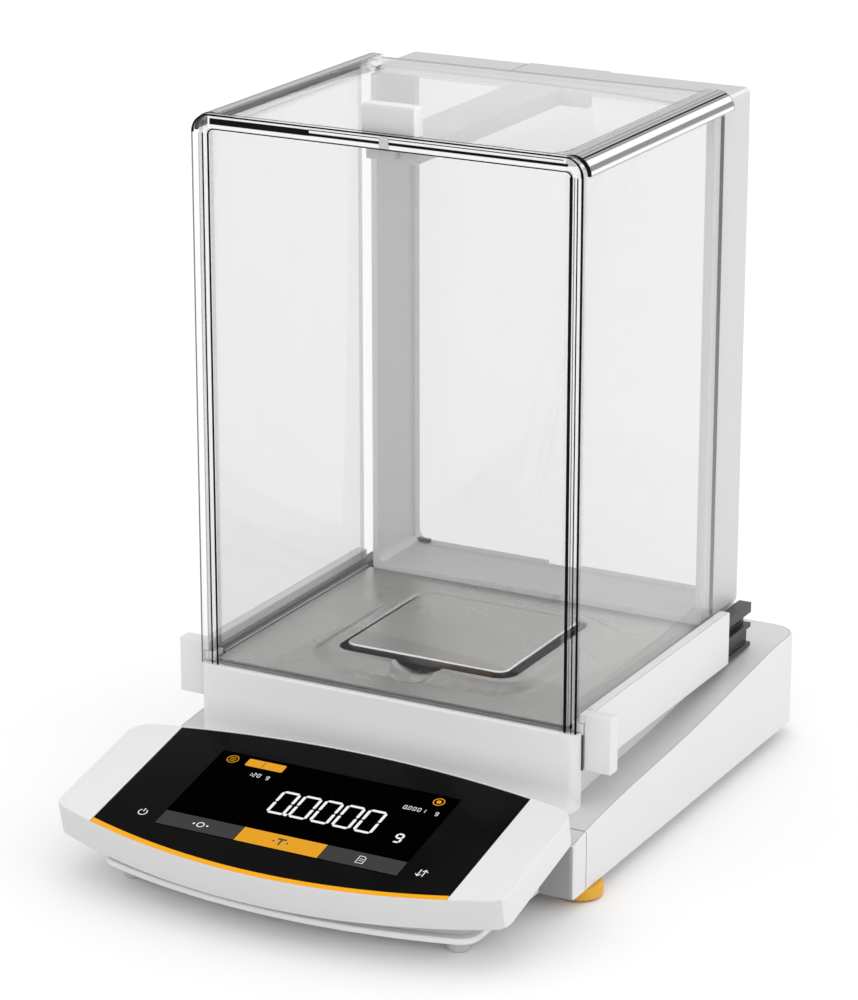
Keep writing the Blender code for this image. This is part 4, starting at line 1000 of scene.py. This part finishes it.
def arch(name, x_span, top, foot, width, radius, y_span, top_width=None, rim=0):
    """A bar swept up the left side, across the top and down the right side."""
    inner_top = top - (top_width or width)
    inner_radius = max(radius - width, 0.3 * MM)
    (left, right), (inner_left, inner_right) = x_span, (x_span[0] + width, x_span[1] - width)
    outer = rounded([(left, foot, 0), (left, top, radius), (right, top, radius), (right, foot, 0)], 8)
    inner = rounded([(inner_left, foot, 0), (inner_left, inner_top, inner_radius),
                     (inner_right, inner_top, inner_radius), (inner_right, foot, 0)], 8)
    front, rear = y_span
    rings = []
    for p, q in zip(outer, inner):
        across = (q - p).normalized() * rim
        ring = [(p + across, front), (p, front + rim), (p, rear - rim), (p + across, rear),
                (q - across, rear), (q, rear - rim), (q, front + rim), (q - across, front)]
        rings.append([(spot.x, y, spot.y) for spot, y in (ring if rim else ring[1:3] + ring[5:7])])
    made = loft(name, rings)
    tidy_normals(made)
    return made


def make_front_frame():
    """The clear moulded frame around the front glass, with painted dark lines and a light band that stand
    in for the shade and reflections in its ribs.
    """
    lowest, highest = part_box("front_frame")
    left, right = lowest.x, highest.x
    top, foot = highest.z, lowest.z
    front, rear = lowest.y, highest.y
    body = arch("front_frame_body", (left, right), top, foot, 7.95 * MM, 8 * MM,
                (front + 0.4 * MM, rear - 0.3 * MM), OPENING_DROP + 0.4 * MM, 0.4 * MM)
    finish_piece(body, "frame_light", stands_for=["front_frame"])

    # painted shade: the dark and grey lines on the posts, around the opening, at the corners and across
    # the top
    for index, (side, distance, width, look) in enumerate(UPRIGHT_LINES):
        edges = sorted((side * (right - distance), side * (right - distance - width)))
        frame_line(f"frame_upright_{index}", rectangle(edges, (foot, top - CORNER_DROP)), look)
    skin = (front + 0.05 * MM, front + 0.35 * MM)
    for name, span, upper, lower, width, radius, top_width in (
            ("frame_inner_line", (OPENING_LEFT, OPENING_RIGHT), top - OPENING_DROP,
             top - CORNER_DROP - 2 * MM, 0.8 * MM, 3 * MM, 0.45 * MM),
            ("frame_corner_line", (left + 0.02 * MM, right - 0.02 * MM), top - 0.02 * MM,
             top - CORNER_DROP, 1.2 * MM, 8 * MM, 0.55 * MM)):
        made = arch(name, span, upper, lower, width, radius, skin, top_width)
        finish_piece(made, "painted_dark_line")

    straight = mm(-82, 82)
    light = (straight, (front + 0.25 * MM, front + 0.45 * MM), (top - OPENING_DROP, top - 0.55 * MM))
    # painted highlight: a light band along the top bar
    trim("frame_top_light", light, "painted_highlight_white")
    for index, (start, end, upper, width) in enumerate(TOP_LINES):
        frame_line(f"frame_bar_{index}", rectangle((start, end), (top - upper - width, top - upper)),
                   "painted_dark_line")
    # painted shade: dark lines along the top's front and rear edges
    for name, y_span in (("frame_top_rear", (rear - 0.7 * MM, rear - 0.3 * MM)),
                         ("frame_top_front", (front + 0.1 * MM, front + 0.45 * MM))):
        trim(name, (straight, y_span, (top - 0.25 * MM, top)), "painted_dark_line")
    clip = (mm(-1.6, 3), (front + 0.02 * MM, rear - 0.2 * MM),
            (top - OPENING_DROP, top - 0.9 * MM))
    trim("frame_clip", clip, "grey_and_painted_shade", slot="clear_plastic", radius=0.5 * MM, rim=0.3 * MM, axis="Y")


RAIL_BEND = 8 * MM
# The stripes and flat lines below are painted shade and highlights, for the reflections in the clear
# rails.
RAIL_STRIPES = (  # start and end around the bend in degrees from the top, look
    (1, 8, "painted_shade_dark"), (16, 22, "painted_shade_dark"), (28, 34, "painted_dark_line"), (36, 41, "painted_shade_dark"),
    (43, 60, "painted_highlight_white"), (62, 74, "painted_shade_dark"), (77, 87, "painted_highlight_white"),
)
RAIL_FLAT_LINES = (mm(0.2, 0.25), mm(1.5, 0.4))  # from the inner edge, width
RAIL_SHELL = 0.15 * MM  # thickness of the stripes' layer around the clear rail
RAIL_GROOVE = (mm(84.7, 86.4, 89.4), 303.4 * MM)  # the rail's two legs, groove's top


def rail_shell(name, side, start, end, thick, y_span, look):
    """A thin painted strip around the rail's bend, between two angles from the top."""
    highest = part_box("roof_rail_right")[1]
    centre = Vector((highest.x - RAIL_BEND, highest.z - RAIL_BEND))
    steps = max(2, round((end - start) / 6))
    outline = []
    sunk = 0.03 * MM if thick < 0.11 * MM else 0  # the cover lies just under the stripes
    for reach, way in ((RAIL_BEND - sunk, 1), (RAIL_BEND - thick, -1)):
        for step in range(steps + 1)[::way]:
            angle = math.radians(start + (end - start) * step / steps)
            outline.append(centre + reach * Vector((math.sin(angle), math.cos(angle))))
    made = slab(name, on_side(side, outline), *y_span, "Y")
    finish_piece(made, look)


def make_roof_rails():
    """The clear corner rails, their painted grey cover, stripes and lines of shade and highlight, and
    painted black and dark rings at their ends.
    """
    for side, word in SIDES:
        lowest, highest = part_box(f"roof_rail_{word}")
        outer = max(abs(lowest.x), abs(highest.x))
        inner = min(abs(lowest.x), abs(highest.x))
        bottom, top = lowest.z, highest.z
        shelf = top - 1.6 * MM
        (leg, groove_in, groove_out), groove_top = RAIL_GROOVE
        skin, roof = outer - RAIL_SHELL, top - RAIL_SHELL
        corners = [
            (skin, bottom, 0), (skin, roof, RAIL_BEND - RAIL_SHELL), (inner, roof, 0.4 * MM),
            (inner, shelf, 0), (leg, shelf, 0), (leg, bottom, 0), (groove_in, bottom, 0),
            (groove_in, groove_top, 0), (groove_out, groove_top, 0), (groove_out, bottom, 0)]
        outline = on_side(side, rounded(corners, 8))
        rail = slab(f"rail_top_{word}", outline, lowest.y + GAP, highest.y, "Y")
        finish_piece(rail, "frame_light", stands_for=[f"roof_rail_{word}"])
        run = (lowest.y + 0.9 * MM, highest.y - 0.5 * MM)
        stripe_run = (lowest.y + 1 * MM, highest.y - 0.6 * MM)
        # painted shade: an opaque grey cover for the shade seen through the clear rail
        rail_shell(f"rail_cover_{word}", side, 0, 90, 0.1 * MM, run, "painted_shade_grey")
        spans = ((side * (inner + 1.7 * MM), side * (outer - RAIL_BEND)), run,
                 (top - 0.1 * MM, top - 0.03 * MM))
        trim(f"rail_flat_{word}", spans, "painted_shade_grey")
        for index, (start, end, look) in enumerate(RAIL_STRIPES):
            rail_shell(f"rail_stripe_{word}_{index}", side, start, end, 0.12 * MM, stripe_run, look)
        # painted shade: dark rings at the rail's ends, and dark lines on its flat
        rail_shell(f"rail_ring_front_{word}", side, -20, 90, 1.4 * MM,
                   (lowest.y, lowest.y + 0.9 * MM), "painted_dark_line")
        rail_shell(f"rail_ring_rear_{word}", side, -20, 90, 0.4 * MM,
                   (highest.y - 0.5 * MM, highest.y), "painted_shade_dark")
        for index, (distance, width) in enumerate(RAIL_FLAT_LINES):
            spans = ((side * (inner + distance), side * (inner + distance + width)), stripe_run,
                     (top - RAIL_SHELL, top - 0.02 * MM))
            trim(f"rail_line_{word}_{index}", spans, "painted_shade_dark")


def make_column():
    """The white rear frame.

    Its window's top slopes up to the front. The sill has three tabs, a notch and two clips.
    """
    lowest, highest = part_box("column")
    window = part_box("rear_pane")
    edge = 0.6 * MM
    outline = rectangle((lowest.x, highest.x), (lowest.z, highest.z), 3 * MM)
    column = slab("column_frame", outline, lowest.y, highest.y, "Y", 1.2 * MM, 2.5 * MM)
    sill, hole_top, half = window[0].z - edge, window[1].z + edge, window[1].x + edge
    hole = rectangle((window[0].x - edge, half), (sill, hole_top), 5 * MM)
    cut(column, slab("cutter", hole, lowest.y - 9 * MM, highest.y + 9 * MM, "Y"))
    front, rear = lowest.y - 1 * MM, highest.y + 1 * MM
    slope = [(front, hole_top - 6 * MM), (rear, hole_top - 6 * MM), (rear, hole_top),
             (front, highest.z - 2.1 * MM)]
    cut(column, slab("cutter", [Vector(p) for p in slope], -half, half, "X"))
    for side, word in SIDES:
        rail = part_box(f"roof_rail_{word}")
        inner = min(abs(rail[0].x), abs(rail[1].x)) - 0.4 * MM
        cut(column, block("cutter", (side * inner, side * 100 * MM),
                          (lowest.y - 9 * MM, rail[1].y + 0.5 * MM), (rail[0].z - 0.5 * MM, 330 * MM)))
    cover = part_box("column_cover")
    cut(column, block("cutter", (cover[0].x - GAP, cover[1].x + GAP),
                      (cover[0].y - GAP, cover[1].y + 9 * MM), (cover[0].z - GAP, 330 * MM)))
    cut(column, block("cutter", mm(-12, 5), mm(127.4, 150),
                      (window[0].z - 2.2 * MM, window[0].z + 2 * MM)))
    finish_piece(column, "white_plastic", stands_for=["column"])

    def shaded(face):
        spot = face.center
        in_hole = (abs(spot.x) < window[1].x + 1.5 * MM
                   and window[0].z - 2 * MM < spot.z < highest.z - 1.5 * MM)
        outside = abs(face.normal.x) > 0.8 and not in_hole
        return face.normal.z > 0.8 or outside or (in_hole and abs(face.normal.y) < 0.5)

    # painted shade: darker white on the window's reveal, the outer sides and the tops, then grey on the
    # tops
    relook(column, "painted_shade_white", shaded)
    relook(column, "grey_and_painted_shade", lambda face: face.normal.z > 0.8)
    soften("column_cover", "grey_and_painted_shade", 0.5 * MM)
    for index, x in enumerate(mm(-12, 11.5, 80.5)):
        left, right, foot, top = x - 2 * MM, x + 2 * MM, lowest.z + 1 * MM, sill - 0.3 * MM
        bend = 1.9 * MM
        outline = rounded([(left, foot, 0), (right, foot, 0), (right, top, bend), (left, top, bend)])
        tab = slab(f"sill_tab_{index}", outline, lowest.y - 0.25 * MM, lowest.y + 0.6 * MM, "Y",
                   0.2 * MM)
        finish_piece(tab, "bar_plastic")
    for side, word in SIDES:
        spans = ((side * 72 * MM, side * 79 * MM), mm(127.1, 129.5), (sill + GAP, sill + 1.6 * MM))
        trim(f"rear_clip_{word}", spans, "black_plastic", stands_for=[f"pane_clip_{word}"],
             radius=0.4 * MM)


BEAM_THICK = 6.8 * MM


def make_beam():
    """The bar under the roof glass, with the screwed plate at its rear."""
    lowest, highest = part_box("roof_beam")
    half = 12.5 * MM
    bar = slab("beam_bar", rectangle((-half, half), (lowest.y, highest.y - 0.2 * MM), 0.8 * MM),
               highest.z - BEAM_THICK, highest.z, round_bottom=0.5 * MM, round_top=0.3 * MM)
    # painted shade: a dark line along the bar's right top edge
    spans = ((half - 0.75 * MM, half - 0.4 * MM), (lowest.y + 1 * MM, highest.y - 1 * MM),
             (highest.z - 0.2 * MM, highest.z + 0.02 * MM))
    trim("beam_line", spans, "painted_shade_dark", slot="grey_plastic")
    finish_piece(bar, "bar_plastic", stands_for=["roof_beam"])
    plate_bottom = highest.z - BEAM_THICK - 0.2 * MM
    middle = (middle_of("beam_screw").x, highest.y, plate_bottom + 3.2 * MM)
    outline = rectangle((half - 4 * MM, highest.x), (plate_bottom, highest.z - 0.5 * MM), 1.5 * MM)
    plate = slab("beam_plate", outline, highest.y - 2.4 * MM, highest.y, "Y", 0.4 * MM, 0)
    cut(plate, turned("cutter", [mm(2, -9), mm(2, 9)], middle, "Y"))
    finish_piece(plate, "bar_plastic")
    screw = turned("plate_screw", [mm(1.9, -2.6), mm(1.9, 0.4)], middle, "Y", 24)
    finish_piece(screw, "aluminium", stands_for=["beam_screw"])


def make_roof_handle():
    """The low grip on the roof glass, with rounded top edges."""
    lowest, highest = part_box("roof_handle")
    profile = rounded([
        (lowest.y, lowest.z, 0), (highest.y, lowest.z, 0), (highest.y - 0.6 * MM, highest.z, 1.2 * MM),
        (lowest.y, highest.z, 2 * MM)])
    grip = slab("roof_grip", profile, lowest.x, highest.x, "X", 1 * MM, 1 * MM)
    finish_piece(grip, "white_plastic", "roof", ["roof_handle"])
    # painted shade on the front and rear faces, painted highlight on the ends
    relook(grip, "bar_plastic", lambda face: abs(face.normal.y) > 0.6)
    relook(grip, "painted_highlight_white", lambda face: abs(face.normal.x) > 0.6)


SKIRT_INNER = 91.3 * MM  # inner face of a door's skirt and grip
DOOR_LIP = mm(89.3, 70.6)  # the skirt's and grip's lip: how far in, underside


def make_doors():
    """Each door's grip, skirt and pin, its black rail, and the line at its pane's rear edge."""
    lip_inner, lip_low = DOOR_LIP
    for side, word in SIDES:
        body = f"door_{word}"
        lowest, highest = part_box(f"door_handle_{word}")
        outer = max(abs(lowest.x), abs(highest.x))
        front, rear, bottom, top = lowest.y, highest.y, lowest.z, highest.z
        soft = 0.8 * MM
        plan = rounded([(SKIRT_INNER, front, soft), (outer, front, soft), (outer, rear, soft),
                        (SKIRT_INNER, rear, 0)])
        grip = slab(f"door_grip_{word}", on_side(side, plan), bottom, top, "Z", 0.6 * MM, 0.6 * MM)
        lip = block("helper", (side * lip_inner, side * (SKIRT_INNER + 1 * MM)),
                    (front + 0.2 * MM, rear - 0.1 * MM), (lip_low, top - 0.3 * MM))
        combine(grip, lip, "UNION")
        finish_piece(grip, "white_plastic", body, [f"door_handle_{word}"])

        lowest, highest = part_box(f"door_skirt_{word}")
        outer, top = max(abs(lowest.x), abs(highest.x)), highest.z
        profile = rounded([
            (SKIRT_INNER, lowest.z, 0), (outer, lowest.z, 0.4 * MM), (outer, top, 0.45 * MM),
            (lip_inner, top, 0.4 * MM), (lip_inner, lip_low, 0), (SKIRT_INNER, lip_low, 0)])
        skirt = slab(f"door_skirt_shell_{word}", on_side(side, profile), lowest.y, highest.y, "Y",
                     0.2 * MM, 0.3 * MM)
        # painted shade: a grey line along the skirt's top outer edge
        spans = ((side * (outer - 0.85 * MM), side * (outer - 0.45 * MM)),
                 (lowest.y + 1 * MM, highest.y - 1 * MM), (top - 0.3 * MM, top + 0.02 * MM))
        trim(f"skirt_line_{word}", spans, "grey_and_painted_shade", body)
        finish_piece(skirt, "white_plastic", body, [f"door_skirt_{word}"])
        # painted shade: the pin is dark for the shade in its hole
        pin = turned(f"door_pin_{word}", [(0.7 * MM, 0), mm(0.7, 0.25), mm(0.35, 0.05)],
                     (side * (outer - 0.3 * MM), 20.5 * MM, 70.4 * MM), "X", 16)
        finish_piece(pin, "painted_shade_dark", body)
        soften(f"door_rail_{word}", "black_plastic", 0.25 * MM)

        lowest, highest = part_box(f"side_pane_{word}")
        spans = ((lowest.x + 0.3 * MM, highest.x - 0.3 * MM), (highest.y, highest.y + 0.35 * MM),
                 (lowest.z + 4 * MM, 299.4 * MM))
        # painted shade: a dark line at the right pane's rear edge; the left one is clear glass
        look = "painted_shade_dark" if side > 0 else "clear_glass"
        trim(f"door_edge_line_{word}", spans, look, body, slot="clear_plastic")


# ---------------------------------------------------------------- chamber floor and pan

PAN_CLEAR = 3.5 * MM
RISE = 3.5 * MM  # how far the floor rises towards the pan
RISE_START, RISE_END = 4 * MM, 13 * MM  # between these distances from the opening
SCOOP = mm(11, 15, 4)  # half width, length and depth of the finger scoop


def divided(outline, step):
    """The outline with its straight runs split into short pieces."""
    fine = []
    for index, here in enumerate(outline):
        ahead = outline[(index + 1) % len(outline)]
        count = max(1, round((ahead - here).length / step))
        fine += [here.lerp(ahead, k / count) for k in range(count)]
    return fine


def make_floor_plate():
    """The steel floor: it rises towards the pan's opening, with a round finger scoop in front."""
    lowest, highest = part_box("floor_plate")
    pan_low, pan_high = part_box("weighing_pan")
    opening_front = pan_low.y - PAN_CLEAR
    opening = divided(rectangle((pan_low.x - PAN_CLEAR, pan_high.x + PAN_CLEAR),
                                (opening_front, pan_high.y + PAN_CLEAR), 8 * MM, 8), 1 * MM)
    half_width, length, depth = SCOOP

    def surface(spot, distance):
        t = min(max((distance - RISE_START) / (RISE_END - RISE_START), 0), 1)
        lifted = RISE * (1 - t * t * (3 - 2 * t))
        reach = math.hypot(spot.x / half_width, (opening_front - spot.y) / length)
        if reach < 1 and spot.y < opening_front + 2 * MM:
            lifted -= depth * math.sqrt(1 - reach)
        return highest.z + lifted

    rings = []
    edge = 1.2 * MM
    for drop in mm(4, 1.2):
        rings.append([(p.x, p.y, surface(p, 0) - drop) for p in opening])
    for step in range(1, 5):
        turn = math.pi / 2 * step / 4
        ring = []
        for before, p in zip(opening, inset(opening, -edge * (1 - math.cos(turn)))):
            ring.append((p.x, p.y, surface(p, 0) - edge * (1 - math.sin(turn))))
        rings.append(ring)
    for step in range(2, 26):
        distance = step * MM
        ring = inset(opening, -distance)
        rings.append([(p.x, p.y, surface(p, distance)) for p in ring])
    middle = middle_of("weighing_pan")
    boundary = []
    for x, y, _ in rings[-1]:
        way = Vector((x - middle.x, y - middle.y))
        reach_x = ((highest.x if way.x > 0 else lowest.x) - middle.x) / way.x if way.x else 1e9
        reach_y = ((highest.y if way.y > 0 else lowest.y) - middle.y) / way.y if way.y else 1e9
        spot = way * min(reach_x, reach_y)
        boundary.append((middle.x + spot.x, middle.y + spot.y))
    for corner in rectangle((lowest.x, highest.x), (lowest.y, highest.y)):
        nearest = min(range(len(boundary)), key=lambda i: math.dist(boundary[i], corner))
        boundary[nearest] = tuple(corner)
    rings.append([(x, y, highest.z) for x, y in boundary])
    rings.append([(x, y, lowest.z) for x, y in boundary])
    plate = loft("floor_sheet", rings, (False, False))
    tidy_normals(plate)
    finish_piece(plate, "brushed_steel", stands_for=["floor_plate"], sharp=50)


def make_pan():
    """The pan: a folded sheet with soft edges, open underneath, with a slot in its right side."""
    lowest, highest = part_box("weighing_pan")
    outline = rectangle((lowest.x, highest.x), (lowest.y, highest.y), 5 * MM, 8)
    pan = slab("pan_sheet", outline, lowest.z, highest.z, round_top=0.9 * MM, steps=6)
    cut(pan, slab("cutter", inset(outline, 0.9 * MM), lowest.z - 9 * MM, highest.z - 0.9 * MM))
    finish_piece(pan, "pan_steel", "pan", ["weighing_pan"])
    # painted highlight on the rounded rim, painted shade on the sides
    relook(pan, "painted_highlight_steel", lambda face: abs(face.normal.z) < 0.93)
    relook(pan, "steel_shade", lambda face: abs(face.normal.z) < 0.2)
    spans = ((highest.x - 0.3 * MM, highest.x + 0.02 * MM), mm(41, 54),
             (lowest.z + 1.2 * MM, lowest.z + 2.2 * MM))
    trim("pan_slot", spans, "aluminium", "pan", radius=0.5 * MM, axis="X")


# ---------------------------------------------------------------- feet and small parts

def make_level_wheels():
    """The knurled wheels of the two levelling feet."""
    for word in ("left", "right"):
        lowest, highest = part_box(f"level_wheel_{word}")
        centre, radius = middle_of(f"level_wheel_{word}"), (highest.x - lowest.x) / 2
        teeth = 36
        outline = []
        for step in range(teeth * 4):
            angle = 2 * math.pi * step / (teeth * 4)
            reach = radius - 0.25 * MM * (0.5 - 0.5 * math.cos(angle * teeth))
            outline.append(Vector((centre.x + reach * math.cos(angle),
                                   centre.y + reach * math.sin(angle))))
        wheel = slab(f"wheel_{word}", outline, lowest.z - 0.5 * MM, highest.z,
                     round_bottom=0.5 * MM, round_top=0.5 * MM)
        cut(wheel, turned("cutter", [mm(3.3, -5), mm(3.3, 20)], (centre.x, centre.y, 0)))
        finish_piece(wheel, "foot_yellow", f"level_screw_{word}", [f"level_wheel_{word}"], sharp=50)


KEPT_NODES = {
    "aluminium": ("pan_support", "weigh_cell", "level_stud_left", "level_stud_right",
                  "cal_motor", "usb_socket", "network_socket"),
    "brass": ("coil_lever",),
    "brushed_steel": ("cal_spindle", "cal_weight"),
    "black_plastic": ("power_socket", "bubble_level_cup", "hook_cover", "magnet_system"),
    "grey_plastic": ("rear_panel", "cal_lifter"),
    "bar_plastic": ("front_catch",),
    "rubber": ("level_pad_left", "level_pad_right", "rear_foot_left", "rear_foot_right"),
    "grey_and_painted_shade": ("front_pad_left", "front_pad_right"),
    "circuit_board": ("main_board", "display_board"),
    "screen": ("screen_module",),
    "clear_glass": ("bubble_level_lens",),
}


def dress_kept_nodes():
    for look, nodes in KEPT_NODES.items():
        for node in nodes:
            soften(node, look)


# ---------------------------------------------------------------- camera and light

CAMERA_AROUND, CAMERA_UP = 28.239, 18.250  # degrees
CAMERA_PLACE = (0.71097, -1.3311, 0.6382)
CAMERA_LENS = 134.46  # millimetres, on a sensor 36 wide


def make_camera():
    azimuth, elevation = math.radians(CAMERA_AROUND), math.radians(CAMERA_UP)
    back = Vector((math.sin(azimuth) * math.cos(elevation),
                   -math.cos(azimuth) * math.cos(elevation), math.sin(elevation)))
    camera = bpy.data.cameras.new("camera")
    camera.lens = CAMERA_LENS
    camera.sensor_width = 36
    camera.clip_start = 0.05
    camera.clip_end = 60
    holder = bpy.data.objects.new("camera", camera)
    holder.location = CAMERA_PLACE
    holder.rotation_euler = (-back).to_track_quat("-Z", "Y").to_euler()
    bpy.context.scene.collection.objects.link(holder)
    bpy.context.scene.camera = holder


def make_room():
    """A white floor, and a bright room that is stronger from the right and from above."""
    floor = block("floor", (-12, 12), (-12, 12), (-0.02, 0))
    moulded("floor_paper", grey(0.91), 0.9, depth=0, mottle=0, specular=0)
    floor.data.materials.append(LOOKS["floor_paper"])

    world = bpy.data.worlds.new("room")
    bpy.context.scene.world = world
    world.use_nodes = True
    tree = world.node_tree
    tree.nodes.clear()
    direction = tree.nodes.new("ShaderNodeTexCoord").outputs["Generated"]
    towards = tree.nodes.new("ShaderNodeVectorMath")
    towards.operation = "DOT_PRODUCT"
    tree.links.new(direction, towards.inputs[0])
    towards.inputs[1].default_value = Vector((0.84, -0.12, 0.43)).normalized()
    ramp = tree.nodes.new("ShaderNodeValToRGB")
    ramp.color_ramp.interpolation = "B_SPLINE"
    stops = ((0.0, 0.56), (0.35, 0.76), (0.6, 1.32), (0.8, 2.05), (1.0, 2.5))
    elements = ramp.color_ramp.elements
    while len(elements) < len(stops):
        elements.new(0.5)
    for element, (place, value) in zip(elements, stops):
        element.position = place
        element.color = (value, value, value, 1)
    half = tree.nodes.new("ShaderNodeMapRange")
    half.inputs["From Min"].default_value = -1
    tree.links.new(towards.outputs["Value"], half.inputs["Value"])
    tree.links.new(half.outputs[0], ramp.inputs["Fac"])
    soft = tree.nodes.new("ShaderNodeBackground")
    tree.links.new(ramp.outputs["Color"], soft.inputs["Color"])
    soft.inputs["Strength"].default_value = 1.24
    plain = tree.nodes.new("ShaderNodeBackground")
    plain.inputs["Color"].default_value = (1, 1, 1, 1)
    pick = tree.nodes.new("ShaderNodeMixShader")
    tree.links.new(tree.nodes.new("ShaderNodeLightPath").outputs["Is Camera Ray"], pick.inputs[0])
    tree.links.new(soft.outputs[0], pick.inputs[1])
    tree.links.new(plain.outputs[0], pick.inputs[2])
    tree.links.new(pick.outputs[0], tree.nodes.new("ShaderNodeOutputWorld").inputs["Surface"])
    bpy.context.scene.view_settings.view_transform = "Standard"


# ---------------------------------------------------------------- the whole

make_looks()
make_base()
make_pedestal()
make_display()
make_screen()
make_panes()
make_front_frame()
make_roof_rails()
make_column()
make_beam()
make_roof_handle()
make_doors()
make_floor_plate()
make_pan()
make_level_wheels()
dress_kept_nodes()
make_camera()
make_room()
